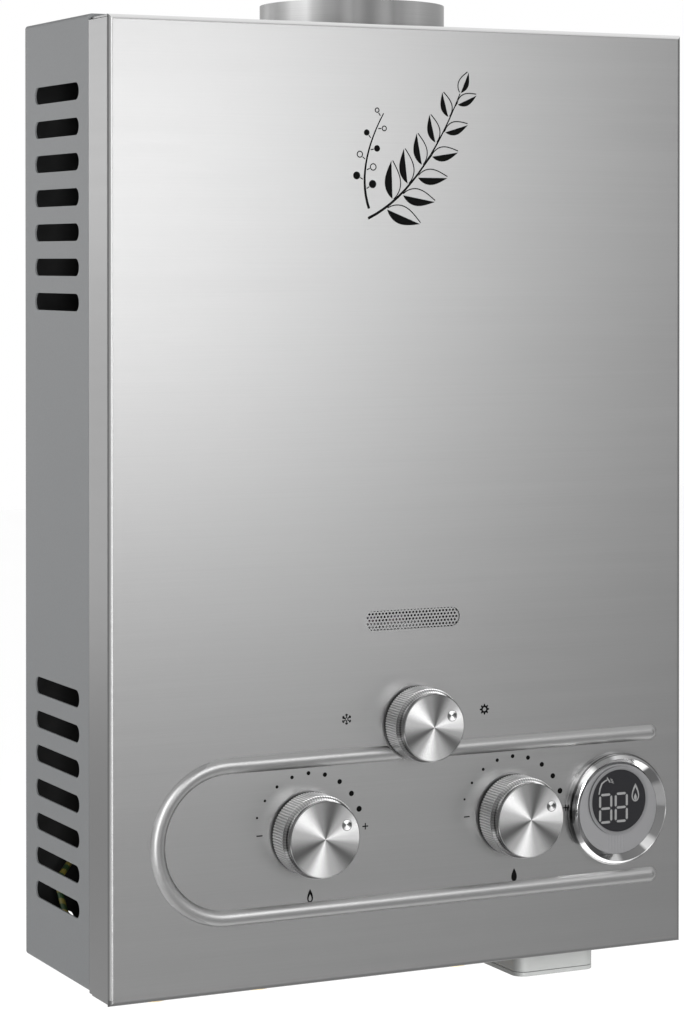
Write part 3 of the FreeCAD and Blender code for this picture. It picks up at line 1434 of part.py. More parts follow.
def switch_lever():
    """Forked blade that hangs beside the collar of the push rod."""
    half = SWITCH_THICKNESS / 2 + LEVER_GAP
    tip = knob_row_z + ROD_RADIUS + LEVER_ROD_GAP
    root = switch_bottom - LEVER_ROOT_GAP
    blade = box(
        LEVER_X - LEVER_BLADE / 2, LEVER_X + LEVER_BLADE / 2, rod_y - half - LEVER_CHEEK,
        rod_y + half + LEVER_CHEEK, tip, root,
    )
    cheeks = []
    for y in (rod_y - half - LEVER_CHEEK, rod_y + half):
        cheeks.append(
            box(
                LEVER_X - LEVER_CHEEK_WIDTH / 2, LEVER_X + LEVER_CHEEK_WIDTH / 2, y, y + LEVER_CHEEK,
                root - LEVER_CHEEK_FOOT, lever_pivot_z + LEVER_CHEEK_TOP,
            )
        )
    pin = disc_y(
        LEVER_X, rod_y - half - LEVER_CHEEK, rod_y + half + LEVER_CHEEK, lever_pivot_z, LEVER_PIN_RADIUS
    )
    return blade.fuse(cheeks + [pin]).removeSplitter()


save("push_rod", push_rod())
save("rod_spring", rod_spring())
save("microswitch", microswitch())
save("switch_bracket", switch_bracket())
save("switch_lever", switch_lever())


# Knobs and stems

def knob(x, z, radius):
    """Ridged sleeve with a step behind the face plate."""
    back = front_y - KNOB_GAP
    front = back - KNOB_SIDE
    foot_front = back - KNOB_FOOT
    shoulder = front + KNOB_SHOULDER
    valley = radius - KNOB_RIDGE_DEPTH
    step_radius = radius - KNOB_STEP_INSET
    count = 2 * KNOB_RIDGES
    points = []
    for k in range(count + 1):
        reach = valley if k % 2 else radius
        turn = 2 * math.pi * k / count
        points.append(vec(x + reach * math.cos(turn), foot_front, z + reach * math.sin(turn)))
    sleeve = Part.Face(Part.makePolygon(points)).extrude(vec(0, shoulder - foot_front, 0))
    foot = disc_y(x, foot_front, back, z, valley)
    slope = Part.makeCone(
        valley, step_radius + KNOB_SHOULDER_LEDGE, KNOB_SHOULDER, vec(x, shoulder, z), vec(0, -1, 0)
    )
    step = disc_y(x, front - KNOB_STEP, front, z, step_radius)
    body = sleeve.fuse([foot, slope, step])
    hollow = disc_y(x, back - KNOB_HOLLOW_DEPTH, back + 1, z, radius - KNOB_WALL)
    hub = disc_y(x, back - KNOB_HOLLOW_DEPTH - 1, back, z, KNOB_HUB_RADIUS)
    bore = disc_y(x, back - STEM_SEAT, back + 1, z, STEM_RADIUS + STEM_FIT)
    return body.cut(hollow.cut(hub)).cut(bore).removeSplitter()


def knob_face(x, z, radius):
    """Turned face plate with a pointer dimple."""
    back = front_y - KNOB_GAP - KNOB_SIDE - KNOB_STEP
    face_radius = radius - KNOB_FACE_INSET
    plate = disc_y(x, back - KNOB_FACE_THICKNESS, back, z, face_radius)
    front = back - KNOB_FACE_THICKNESS
    rim = [edge for edge in plate.Edges if edge.BoundBox.YMax < front + 0.01]
    plate = plate.makeChamfer(KNOB_FACE_CHAMFER, rim)
    turn = math.radians(POINTER_ANGLE)
    place = face_radius - POINTER_INSET
    dimple = disc_y(
        x + place * math.cos(turn), front - 1, front + POINTER_DEPTH, z + place * math.sin(turn),
        POINTER_RADIUS,
    )
    return plate.cut(dimple)


def stem(x, z, valve_front):
    """Valve stem from inside the valve to its seat in the knob."""
    seat = front_y - KNOB_GAP - STEM_SEAT
    inner = valve_front + STEM_DEPTH - STEM_END_GAP
    return disc_y(x, seat, inner, z, STEM_RADIUS)


controls = {
    "gas": (GAS_KNOB_X, knob_row_z, KNOB_RADIUS, gas_valve_front),
    "water": (WATER_KNOB_X, knob_row_z, KNOB_RADIUS, water_valve_front),
    "season": (SEASON_KNOB_X, season_knob_z, SEASON_KNOB_RADIUS, season_valve_front),
}
for name, (knob_x, knob_z, knob_radius, valve_front) in controls.items():
    save(name + "_knob", knob(knob_x, knob_z, knob_radius))
    save(name + "_knob_face", knob_face(knob_x, knob_z, knob_radius))
    save(name + "_valve_stem", stem(knob_x, knob_z, valve_front))


# Display

def display_bezel():
    """Ring round the display plate: rounded outside, with a slope down to the plate inside."""
    crest = front_y - BEZEL_RISE
    edge_front = front_y - BEZEL_EDGE
    plate_front = front_y - PLATE_THICKNESS
    span = BEZEL_RADIUS - BEZEL_CREST_RADIUS
    turn = math.sin(math.pi / 4)

    def at(radius, y):
        return vec(display_x + radius, y, display_z)

    outside = at(BEZEL_RADIUS, edge_front)
    shoulder = at(BEZEL_CREST_RADIUS + span * turn, edge_front - (BEZEL_RISE - BEZEL_EDGE) * turn)
    top = at(BEZEL_CREST_RADIUS, crest)
    inside = at(BEZEL_INNER_RADIUS, plate_front)
    edges = [
        Part.LineSegment(at(BEZEL_RADIUS, front_y), outside).toShape(),
        Part.Arc(outside, shoulder, top).toShape(),
        Part.LineSegment(top, inside).toShape(),
        Part.LineSegment(inside, at(BEZEL_INNER_RADIUS, front_y)).toShape(),
        Part.LineSegment(at(BEZEL_INNER_RADIUS, front_y), at(BEZEL_RADIUS, front_y)).toShape(),
    ]
    section = Part.Face(Part.Wire(edges))
    return section.revolve(vec(display_x, 0, display_z), vec(0, 1, 0), 360)


def display_plate():
    """Silver plate with a raised ring round the lens."""
    front = front_y - PLATE_THICKNESS
    plate = disc_y(display_x, front, front_y, display_z, BEZEL_INNER_RADIUS - PLATE_FIT)
    ring_front = front - LENS_RING_RISE
    hole_radius = LENS_RADIUS + LENS_FIT
    ring = disc_y(display_x, ring_front, front, lens_z, hole_radius + LENS_RING)
    hole = disc_y(display_x, ring_front - 1, front_y + 1, lens_z, hole_radius)
    return plate.fuse(ring).cut(hole).removeSplitter()


def display_lens():
    return disc_y(display_x, lens_front, lens_front + LENS_THICKNESS, lens_z, LENS_RADIUS)


def display_pod():
    """Plastic cup behind the cover."""
    cup = disc_y(display_x, cover_inner_y, display_back, display_z, DISPLAY_POD_RADIUS)
    hollow = disc_y(
        display_x, cover_inner_y - 1, display_back - DISPLAY_POD_WALL, display_z,
        DISPLAY_POD_RADIUS - DISPLAY_POD_WALL,
    )
    return cup.cut(hollow)


def display_board():
    """Circuit board with the digit block that fills the space behind the lens."""
    board_back = display_back - DISPLAY_POD_WALL
    board = disc_y(
        display_x, board_back - BOARD_THICKNESS, board_back, display_z,
        DISPLAY_POD_RADIUS - DISPLAY_POD_WALL - BOARD_FIT,
    )
    block = box(
        display_x - DIGIT_BLOCK_WIDTH / 2, display_x + DIGIT_BLOCK_WIDTH / 2, lens_front + LENS_THICKNESS,
        board_back - BOARD_THICKNESS, lens_z - DIGIT_BLOCK_HEIGHT / 2, lens_z + DIGIT_BLOCK_HEIGHT / 2,
    )
    return board.fuse(block).removeSplitter()


save("display_bezel", display_bezel())
save("display_plate", display_plate())
save("display_lens", display_lens())
save("display_pod", display_pod())
save("display_board", display_board())


# Battery box

def battery_case():
    """Plastic sleeve for two cells, open below, with a rim that lies on the floor."""
    outer = box(battery_left, battery_right, battery_front, battery_back, case_rim, battery_top)
    outer = rounded(outer, vec(0, 0, 1), BATTERY_CORNER)
    rim = box(
        battery_left - BATTERY_RIM, battery_right + BATTERY_RIM, battery_front - BATTERY_RIM,
        battery_back + BATTERY_RIM, floor_z, floor_z + BATTERY_RIM_THICKNESS,
    )
    rim = rounded(rim, vec(0, 0, 1), BATTERY_CORNER + BATTERY_RIM)
    wall = BATTERY_WALL
    room = box(
        battery_left + wall, battery_right - wall, battery_front + wall, battery_back - wall,
        case_rim - 1, battery_ceiling,
    )
    room = rounded(room, vec(0, 0, 1), BATTERY_CORNER - wall)
    notch = box(
        battery_left - 1, battery_right + 1, battery_back - 3 * HINGE_RADIUS, battery_back + 1,
        battery_bottom - 1, hinge_z + HINGE_RADIUS + LID_GAP,
    )
    ears = []
    for x in (battery_left, battery_right - HINGE_EAR):
        barrel = disc_x(x, x + HINGE_EAR, hinge_y, hinge_z, HINGE_RADIUS)
        web = box(
            x, x + HINGE_EAR, hinge_y, battery_back, hinge_z, hinge_z + HINGE_RADIUS + LID_GAP + HINGE_WEB
        )
        hole = disc_x(x - 1, x + HINGE_EAR + 1, hinge_y, hinge_z, HINGE_PIN_RADIUS + HINGE_FIT)
        ears.append(barrel.fuse(web).cut(hole))
    shell = outer.fuse(rim).cut([room, notch])
    return shell.fuse(ears).removeSplitter()


def battery_lid():
    """Floor of the battery box, hinged at the back."""
    front_part = box(
        battery_left, battery_right, battery_front, hinge_y - HINGE_RADIUS - LID_GAP, battery_bottom,
        lid_top,
    )
    corners = [
        edge
        for edge in front_part.Edges
        if runs_along(edge, vec(0, 0, 1)) and edge.BoundBox.YMax < battery_front + 1
    ]
    front_part = front_part.makeFillet(BATTERY_CORNER, corners)
    left = battery_left + HINGE_EAR + LID_GAP
    right = battery_right - HINGE_EAR - LID_GAP
    tongue_front = hinge_y - HINGE_RADIUS - LID_GAP - HINGE_TONGUE_LAP
    tongue = box(left, right, tongue_front, hinge_y, battery_bottom, lid_top)
    barrel = disc_x(left, right, hinge_y, hinge_z, HINGE_RADIUS)
    pin = disc_x(battery_left, battery_right, hinge_y, hinge_z, HINGE_PIN_RADIUS)
    return front_part.fuse([tongue, barrel, pin]).removeSplitter()


cell_middle = (battery_front + battery_back) / 2
cell_rows = [cell_middle + side * (CELL_RADIUS + CELL_SIDE_GAP / 2) for side in (-1, 1)]


def battery_cells():
    cells = []
    for y in cell_rows:
        can = disc_z(battery_x, y, cell_bottom, cell_top, CELL_RADIUS)
        nub = disc_z(battery_x, y, cell_top, cell_top + CELL_NUB, CELL_NUB_RADIUS)
        cells.append(can.fuse(nub).removeSplitter())
    return Part.makeCompound(cells)


def battery_contacts():
    """Strips in the ceiling that the cells press on."""
    half = CONTACT_WIDTH / 2
    low = battery_ceiling - CONTACT_THICKNESS
    left, right = battery_x - half, battery_x + half
    strips = [box(left, right, y - half, y + half, low, battery_ceiling) for y in cell_rows]
    return Part.makeCompound(strips)


def lid_contact():
    """Strip on the lid with a spring under each cell."""
    half = CONTACT_WIDTH / 2
    base = lid_top + CONTACT_THICKNESS
    strip = box(
        battery_x - half, battery_x + half, cell_rows[0] - half, cell_rows[1] + LID_CONTACT_LAP, lid_top, base
    )
    springs = [
        coil_z(
            battery_x, y, base - CONTACT_WIRE / 2, base + CONTACT_SPRING_HEIGHT, CONTACT_SPRING_RADIUS,
            CONTACT_WIRE, CONTACT_TURNS,
        )
        for y in (cell_rows[0], cell_rows[1] - LID_SPRING_SHIFT)
    ]
    return strip.fuse(springs)


save("battery_case", battery_case())
save("battery_lid", battery_lid())
save("battery_cells", battery_cells())
save("battery_contacts", battery_contacts())
save("lid_contact", lid_contact())


# Ignition, safety and wiring

def igniter_box():
    block = box(
        igniter_left, igniter_right, wall_y - IGNITER_DEPTH, wall_y, igniter_top - IGNITER_HEIGHT,
        igniter_top,
    )
    return rounded(block, vec(0, 1, 0), IGNITER_EDGE)


def electrode(x):
    """Ceramic tube with a wire that ends above the burner."""
    ceramic = disc_y(x, electrode_front, electrode_front + CERAMIC_LENGTH, electrode_z, CERAMIC_RADIUS)
    tip = electrode_front + CERAMIC_LENGTH
    wire = disc_y(x, tip, tip + ELECTRODE_TIP, electrode_z, ELECTRODE_WIRE)
    return ceramic.fuse(wire).removeSplitter()


def ignition_lead():
    """High-voltage lead from the igniter box to the electrode."""
    x = (igniter_left + igniter_right) / 2
    back = wall_y - IGNITION_EXIT_Y
    turn_y = electrode_front - LEAD_TURN
    pass_x, pass_y, pass_z = IGNITION_PASS
    swing_x, swing_y = IGNITION_SWING
    points = [
        (x, back, igniter_top),
        (x, back, igniter_top + IGNITION_RISE),
        (x - pass_x, frame_front + pass_y, igniter_top + pass_z),
        (x - swing_x, turn_y + swing_y, electrode_z),
        (ELECTRODE_X + IGNITION_APPROACH, turn_y, electrode_z),
        (ELECTRODE_X, turn_y, electrode_z),
        (ELECTRODE_X, electrode_front, electrode_z),
    ]
    bends = [IGNITION_EXIT_BEND, IGNITION_LOOP_BEND, LEAD_BEND, LEAD_BEND, LEAD_END_BEND]
    return tube(points, bends, LEAD_RADIUS)


def sensor_lead():
    """Lead from the igniter box behind the burner to the flame sensor."""
    turn_y = electrode_front - LEAD_TURN
    low = frame_bottom - SENSOR_DROP
    back = wall_y - SENSOR_EXIT_Y
    pass_x, pass_y, pass_z = SENSOR_PASS
    climb_x, climb_y, climb_z = SENSOR_CLIMB
    points = [
        (igniter_left, back, low),
        (SENSOR_REACH - chamber_half, back, low),
        (-coil_x - pass_x, burner_back + pass_y, low + pass_z),
        (-coil_x - climb_x, frame_front + climb_y, electrode_z - climb_z),
        (-coil_x + SENSOR_APPROACH, turn_y, electrode_z),
        (-ELECTRODE_X, turn_y, electrode_z),
        (-ELECTRODE_X, electrode_front, electrode_z),
    ]
    bends = [SENSOR_FIRST_BEND, LEAD_BEND, LEAD_BEND, LEAD_BEND, LEAD_END_BEND]
    return tube(points, bends, LEAD_RADIUS)


def earth_wire():
    """Green and yellow wire from the back wall, past the lowest vent, to the gas valve."""
    left = SHEET - half_width
    points = [(left + dx, wall_y - dy, floor_z + dz) for dx, dy, dz in EARTH_ROUTE]
    end_x = GAS_KNOB_X - EARTH_TERMINAL_X
    end_y = gas_valve_front + EARTH_TERMINAL_Y
    turn_x, turn_y, turn_z = EARTH_LAST_TURN
    points += [
        (end_x - turn_x, end_y - turn_y, floor_z + turn_z),
        (end_x, end_y, floor_z + turn_z + EARTH_LAST_RISE),
        (end_x, end_y, gas_valve_bottom),
    ]
    return tube(points, list(EARTH_BENDS), LEAD_RADIUS)


def thermostat():
    """Overheat cut-out on the side of the shell."""
    start = chamber_half
    can = disc_x(start, start + THERMOSTAT_HEIGHT, chamber_y, thermostat_z, THERMOSTAT_RADIUS)
    half_length = THERMOSTAT_PLATE_LENGTH / 2
    half_height = THERMOSTAT_PLATE_HEIGHT / 2
    plate = box(
        start, start + THERMOSTAT_PLATE, chamber_y - half_length, chamber_y + half_length,
        thermostat_z - half_height, thermostat_z + half_height,
    )
    return can.fuse(plate).removeSplitter()


def temperature_probe():
    """Bulb clipped beside the hot outlet for the display."""
    y = NIPPLE_Y - TUBE_RADIUS - PROBE_BAND_WALL - PROBE_RADIUS + PROBE_SINK
    low = hot_nipple_top + PROBE_RISE
    bulb = disc_z(HOT_X, y, low, low + PROBE_LENGTH, PROBE_RADIUS)
    band_low = low + (PROBE_LENGTH - PROBE_BAND) / 2
    band_radius = TUBE_RADIUS + PROBE_BAND_WALL
    band = ring_z(HOT_X, NIPPLE_Y, band_low, band_low + PROBE_BAND, band_radius, TUBE_RADIUS + TUBE_FIT)
    return bulb.fuse(band).removeSplitter()


save("igniter_box", igniter_box())
save("ignition_electrode", electrode(ELECTRODE_X))
save("flame_sensor", electrode(-ELECTRODE_X))
save("ignition_lead", ignition_lead())
save("sensor_lead", sensor_lead())
save("earth_wire", earth_wire())
save("thermostat", thermostat())
save("temperature_probe", temperature_probe())
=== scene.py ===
"""Dresses the wall-hung gas water heater: finishes, printed marks, lights and camera."""
import json
import math

import bmesh
import bpy
from mathutils import Matrix, Vector


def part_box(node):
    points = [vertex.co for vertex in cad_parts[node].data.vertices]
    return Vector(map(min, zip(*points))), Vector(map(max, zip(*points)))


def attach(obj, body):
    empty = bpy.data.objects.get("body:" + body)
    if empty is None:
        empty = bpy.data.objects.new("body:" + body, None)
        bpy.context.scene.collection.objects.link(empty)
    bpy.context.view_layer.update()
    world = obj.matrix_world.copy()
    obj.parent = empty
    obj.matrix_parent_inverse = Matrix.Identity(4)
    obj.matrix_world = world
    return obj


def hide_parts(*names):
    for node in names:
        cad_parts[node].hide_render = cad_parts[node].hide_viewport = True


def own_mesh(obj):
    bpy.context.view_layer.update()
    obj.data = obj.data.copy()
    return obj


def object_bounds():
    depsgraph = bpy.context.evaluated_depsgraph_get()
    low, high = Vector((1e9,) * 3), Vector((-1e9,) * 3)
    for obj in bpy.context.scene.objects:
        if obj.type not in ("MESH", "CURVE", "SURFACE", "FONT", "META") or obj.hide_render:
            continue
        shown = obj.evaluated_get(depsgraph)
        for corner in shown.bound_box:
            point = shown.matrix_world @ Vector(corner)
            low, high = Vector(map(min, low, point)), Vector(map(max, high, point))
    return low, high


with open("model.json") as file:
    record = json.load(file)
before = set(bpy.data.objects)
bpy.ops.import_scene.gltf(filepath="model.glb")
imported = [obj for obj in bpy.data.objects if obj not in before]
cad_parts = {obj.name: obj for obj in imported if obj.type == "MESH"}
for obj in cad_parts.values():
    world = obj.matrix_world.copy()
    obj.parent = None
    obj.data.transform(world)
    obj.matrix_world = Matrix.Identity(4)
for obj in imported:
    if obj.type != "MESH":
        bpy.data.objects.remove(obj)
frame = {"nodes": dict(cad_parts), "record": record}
cad_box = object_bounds()

MM = 0.001

# Camera, found from the housing's corners and the knobs in the photograph
CAMERA_PLACE = (-0.63634, -1.33745, 0.10910)
CAMERA_TURN = 26.0557
CAMERA_PITCH = 0.6202
CAMERA_LENS = 104.993
CAMERA_SENSOR = 36.0
CAMERA_SHIFT = (0.00166, -0.214)
CAMERA_CLIP = (0.05, 50.0)

# Floor, world and lights: each light's name, place, aim, size and power
FLOOR_DROP = 0.30
FLOOR_SIZE = 12.0
WORLD_LIGHT = 1.0
LIGHTS = (
    ("front_left_high", (0.25, -1.50, 0.40), (0.25, 0.0, 0.40), (0.40, 0.35), 2.1),
    ("front_left_low", (0.25, -1.51, 0.10), (0.25, 0.0, 0.10), (0.40, 0.35), 4.5),
    ("front_right_high", (0.50, -1.52, 0.40), (0.50, 0.0, 0.40), (0.40, 0.35), 4.1),
    ("front_right_middle", (0.50, -1.53, 0.10), (0.50, 0.0, 0.10), (0.40, 0.35), 2.8),
    ("front_right_low", (0.50, -1.54, -0.20), (0.50, 0.0, -0.20), (0.40, 0.35), 1.7),
    ("camera_strip", (-0.60, -1.55, 0.05), (-0.60, 0.0, 0.05), (0.25, 1.20), 25.0),
    ("back_high", (-0.80, 1.40, 0.30), (-0.15, -0.10, 0.30), (0.60, 0.40), 2.5),
    ("back_low", (-0.80, 1.40, -0.10), (-0.15, -0.10, -0.10), (0.60, 0.40), 1.4),
)

# Front of the cover, from the knob that stands just off it
KNOB_GAP = 0.8 * MM
front_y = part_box("gas_knob")[1].y + KNOB_GAP
PRINT_LIFT = 0.03 * MM
PRINT_THICKNESS = 0.03 * MM

# Dial prints, millimetres
DOT_COUNT = 9
DOT_RADIUS_PLACE = 27.3
DOT_START = 161.0
DOT_END = 19.0
DOT_SMALL = 0.55
DOT_LARGE = 1.35
DOT_POINTS = 20
MINUS_PLACE = (-24.6, 0.6)
PLUS_PLACE = (29.0, 0.6)
MARK_SIZE = 3.0
MARK_LINE = 0.55
SIGN_PLACE = (0.8, -28.9)
SIGN_SIZE = 3.1
SIGN_HOLE_DROP = 0.9
SIGN_HOLE_SIZE = 1.6
FLAME_POINTS = 28
FLAME_WIDTH = 0.62
WINTER_PLACE = (-32.0, -101.6)
SNOWFLAKE_RADIUS = 2.5
SNOWFLAKE_HUB = 0.18
SNOWFLAKE_FORK = 0.6
SNOWFLAKE_TWIG = 0.36
SNOWFLAKE_SPLAY = 0.75
SNOWFLAKE_LINES = (0.55, 0.46)
SUMMER_PLACE = (40.2, -101.8)
SUN_RADIUS = 2.55
SUN_POINTS = 32
SUN_DISC = 0.68
SUN_HOLE = 0.36

# Branch print, millimetres
BRANCH = ((-21.0, 128.5), (7.0, 141.0), (27.0, 187.0))
TWIG = ((-20.5, 133.0), (-27.5, 152.0), (-13.0, 177.0))
STEM_WIDTH = (1.3, 0.5)
STEM_STEPS = 14
LEAF_COUNT = 11
LEAF_SPAN = (0.16, 0.94)
LEAF_LEAN = (58, 40)
LEAF_LENGTH = (20.0, 10.5)
LEAF_WIDTH = (8.4, 4.8)
LEAF_OFFSET = 1.2
LEAF_TIP_OFFSET = 0.5
LEAF_RIB = 0.22
LEAF_EDGE_LINE = 0.5
LEAF_STEPS = 12
LEAF_BELLY = 0.8
BERRY_COUNT = 8
BERRY_SPAN = (0.22, 0.96)
BERRY_LEAN = 62
BERRY_RADIUS = (2.1, 1.2)
BERRY_STALK = (1.0, 2.6)
BERRY_GAP = 0.2

# Knobs: sleeve, turned face and pointer mark, with painted light and shade and a brightness for
# each face's painted fans
SLEEVE_RIDGES = 90
SLEEVE_SHOULDER = 3.45 * MM
SLEEVE_FOOT = 1.25 * MM
FACE_RIM = 0.3 * MM
FACE_RING_PITCH = 0.32 * MM
POINTER_INSET = 5.0 * MM
POINTER_ANGLE = 28.0
POINTER_RADIUS = (2.6 * MM, 2.3 * MM)
FACE_SHEEN = {"gas_knob_face": 0.41, "water_knob_face": 0.54, "season_knob_face": 0.42}

# Display ring and plate; the flutes' place is taken from the ring's centre and the lens's foot
BEZEL_CREST = 24.6 * MM
FLUTE_PITCH = 1.7 * MM
FLUTES_PLACE = (-1.6 * MM, -1.0 * MM)
FLUTES_HALF_SPAN = 5.0 * MM
LENS_SHADOW = 2.6 * MM

# Display signs, millimetres from the lens centre
DIGIT_HEIGHT = 13.2
DIGIT_WIDTH = 6.2
DIGIT_LINE = 1.15
DIGIT_GAP = 0.45
DIGIT_PLACES = (-7.3, 1.4)
DIGIT_DROP = -3.3
FLAME_PLACE = 9.3
FLAME_OUTLINES = ((3.2, 4.4), (2.6, 3.1), (1.2, 1.6))
SHOWER_PLACE = (-11.0, 10.2)
SHOWER_ARM = ((0.0, -6.5), (0.6, -3.6), (1.6, -1.4), (3.2, -0.3), (4.6, 0.2))
SHOWER_ARM_WIDTHS = (0.7, 0.8, 0.8, 0.7, 0.6)
SHOWER_HEAD = (4.4, 1.3, 6.2, -1.2)
SHOWER_HEAD_WIDTH = 0.6
SHOWER_JET = (6.2, 0.6, 7.6, -0.1)
SHOWER_JET_STEP = (0.3, -0.8)
SHOWER_JET_WIDTH = 0.3

# Pipe connections, millimetres: the place and top of each, then their thread, flange, neck and bore
CONNECTIONS = {"hot_water": (-104.0, -175.8), "gas": (-51.4, -179.8), "cold_water": (55.4, -177.3)}
CONNECTION_Y = -45.0
CONNECTION_SIDES = 48
THREAD_PITCH = 1.814
THREAD_DEPTH = 1.16
THREAD_CREST = 10.48
THREAD_ROOT = THREAD_CREST - THREAD_DEPTH
THREAD_LOW = -236.0
THREAD_STEPS = 60
THREAD_SHARP = 35
THREAD_CLEARANCE = 0.2
THREAD_RUN_IN = 2.0
THREAD_RUN_OUT = 1.2
FLANGE_LOW = -222.5
FLANGE_HIGH = -220.0
FLANGE_RADIUS = 15.0
FLANGE_BEVEL = 0.4
NECK_RADIUS = 10.2
WIDE_BORE = 7.5
NARROW_BORE = 5.0

# Spring on the push rod; the wire is given by its radius
SPRING_TURNS = 7
SPRING_STEPS = 24
SPRING_SIDES = 10
SPRING_WIRE = 0.5 * MM


# Node helpers

# Sockets of a Mix node that works on colours
MIX_AMOUNT, MIX_FIRST, MIX_SECOND, MIX_RESULT = 0, 6, 7, 2


def feed(tree, socket, value):
    """Links another node's output to a socket, or sets the socket's own value."""
    if isinstance(value, bpy.types.NodeSocket):
        tree.links.new(value, socket)
    else:
        socket.default_value = value


def add(tree, kind, **values):
    """A node whose inputs take a number, a colour or another node's output."""
    node = tree.nodes.new(kind)
    for key, value in values.items():
        feed(tree, node.inputs[key.replace("_", " ")], value)
    return node


def start(name, colour, metallic=0.0, roughness=0.5, **sockets):
    """A material with plain values on the shader's own sockets."""
    material = bpy.data.materials.new(name)
    material.use_nodes = True
    tree = material.node_tree
    shader = tree.nodes["Principled BSDF"]
    shader.inputs["Base Color"].default_value = (*colour, 1)
    shader.inputs["Metallic"].default_value = metallic
    shader.inputs["Roughness"].default_value = roughness
    for key, value in sockets.items():
        shader.inputs[key.replace("_", " ")].default_value = value
    return material, tree, shader


def coordinates(tree, kind="Object"):
    """The object's own coordinates, or its normal."""
    return tree.nodes.new("ShaderNodeTexCoord").outputs[kind]


def axes(tree, kind="Object"):
    """X, Y and Z of the object's own coordinates, or of its normal."""
    return add(tree, "ShaderNodeSeparateXYZ", Vector=coordinates(tree, kind)).outputs


def places(tree, stretch=(1, 1, 1)):
    """The object's own coordinates, stretched."""
    return add(tree, "ShaderNodeMapping", Vector=coordinates(tree), Scale=stretch).outputs["Vector"]


def noise(tree, vector, scale, detail=3.0, roughness=0.55):
    """Even noise from 0 to 1."""
    return add(
        tree, "ShaderNodeTexNoise", Vector=vector, Scale=scale, Detail=detail, Roughness=roughness
    ).outputs["Fac"]


def ramp(tree, value, stops, interpolation="LINEAR"):
    """A colour ramp; each stop is a place and a grey or a colour."""
    node = add(tree, "ShaderNodeValToRGB", Fac=value)
    bar = node.color_ramp
    bar.interpolation = interpolation
    while len(bar.elements) < len(stops):
        bar.elements.new(0.5)
    for element, (place, tone) in zip(bar.elements, stops):
        element.position = place
        colour = (tone, tone, tone) if isinstance(tone, (int, float)) else tone
        element.color = (*colour, 1)
    return node.outputs["Color"]


def spread(tree, value, low, high, start_at=0.0, end_at=1.0):
    """A value brought from one range to another."""
    return add(
        tree, "ShaderNodeMapRange", Value=value, From_Min=start_at, From_Max=end_at, To_Min=low,
        To_Max=high,
    ).outputs["Result"]


def maths(tree, operation, first, second=None):
    """One sum on numbers."""
    node = tree.nodes.new("ShaderNodeMath")
    node.operation = operation
    feed(tree, node.inputs[0], first)
    if second is not None:
        feed(tree, node.inputs[1], second)
    return node.outputs["Value"]


def vector_maths(tree, operation, first, second):
    """One sum on vectors."""
    node = tree.nodes.new("ShaderNodeVectorMath")
    node.operation = operation
    feed(tree, node.inputs[0], first)
    feed(tree, node.inputs[1], second)
    return node.outputs


def mixed(tree, amount, first, second, blend="MIX"):
    """Two colours mixed; colours are tuples or outputs."""
    node = tree.nodes.new("ShaderNodeMix")
    node.data_type = "RGBA"
    node.blend_type = blend
    feed(tree, node.inputs[MIX_AMOUNT], amount)
    for socket, colour in ((node.inputs[MIX_FIRST], first), (node.inputs[MIX_SECOND], second)):
        feed(tree, socket, (*colour, 1) if isinstance(colour, tuple) else colour)
    return node.outputs[MIX_RESULT]


def toned(tree, colour, factor):
    """A colour made lighter or darker by a factor."""
    return mixed(tree, 1.0, colour, factor, "MULTIPLY")


def bump(tree, shader, height, strength, distance):
    """Small unevenness of the surface."""
    node = add(tree, "ShaderNodeBump", Height=height, Strength=strength, Distance=distance)
    tree.links.new(node.outputs["Normal"], shader.inputs["Normal"])


def shade(tree, shader, colour, roughness=None):
    """The outputs that give the shader its colour and roughness."""
    tree.links.new(colour, shader.inputs["Base Color"])
    if roughness is not None:
        tree.links.new(roughness, shader.inputs["Roughness"])


def scaled(colour, factor):
    """A lighter or darker colour tuple."""
    return tuple(min(1.0, part * factor) for part in colour)


def turned(tree, across, up):
    """Direction of a place in turns from 0 to 1."""
    turns = maths(tree, "DIVIDE", maths(tree, "ARCTAN2", up, across), 2 * math.pi)
    return maths(tree, "FRACT", maths(tree, "ADD", turns, 1.0))


def polar(tree, centre):
    """Angle in turns from 0 to 1, and the radius, about an axis along Y through the centre."""
    place = axes(tree)
    dx = maths(tree, "SUBTRACT", place["X"], centre[0])
    dz = maths(tree, "SUBTRACT", place["Z"], centre[1])
    squares = maths(tree, "ADD", maths(tree, "MULTIPLY", dx, dx), maths(tree, "MULTIPLY", dz, dz))
    return turned(tree, dx, dz), maths(tree, "SQRT", squares)


# Finishes

# Thickness of the housing sheet that counts as its outside; inward-looking faces further in take
# painted shade
HOUSING_SHEET = 0.78 * MM

# Painted highlight and shade of the cover by how squarely a face looks to the front, 0 at its
# flanges and 1 on its front:
# for faces that look left, for the others, for the folds at foot and right, and for the top fold
COVER_FOLD_SHEEN = (
    (
        (0.0, 1.0), (0.04, 1.0), (0.12, 0.9), (0.4, 0.95), (0.62, 1.6), (0.72, 2.2), (0.88, 1.5),
        (0.95, 1.05), (0.985, 0.92), (1.0, 1.0),
    ),
    (
        (0.0, 1.0), (0.04, 1.0), (0.2, 2.9), (0.6, 2.9), (0.88, 2.1), (0.95, 1.3), (0.985, 0.95),
        (1.0, 1.0),
    ),
    ((0.0, 1.0), (0.04, 1.0), (0.3, 0.65), (0.8, 0.8), (0.95, 0.9), (1.0, 1.0)),
    (
        (0.0, 1.0), (0.04, 1.0), (0.2, 5.4), (0.7, 6.0), (0.87, 5.4), (0.93, 4.8), (0.975, 3.3),
        (0.99, 1.6), (1.0, 1.0),
    ),
)
# How far in the folds reach, and how much a normal leans before a face looks left or up
FOLD_REACH = 3.0 * MM
FOLD_LOOK = 0.15
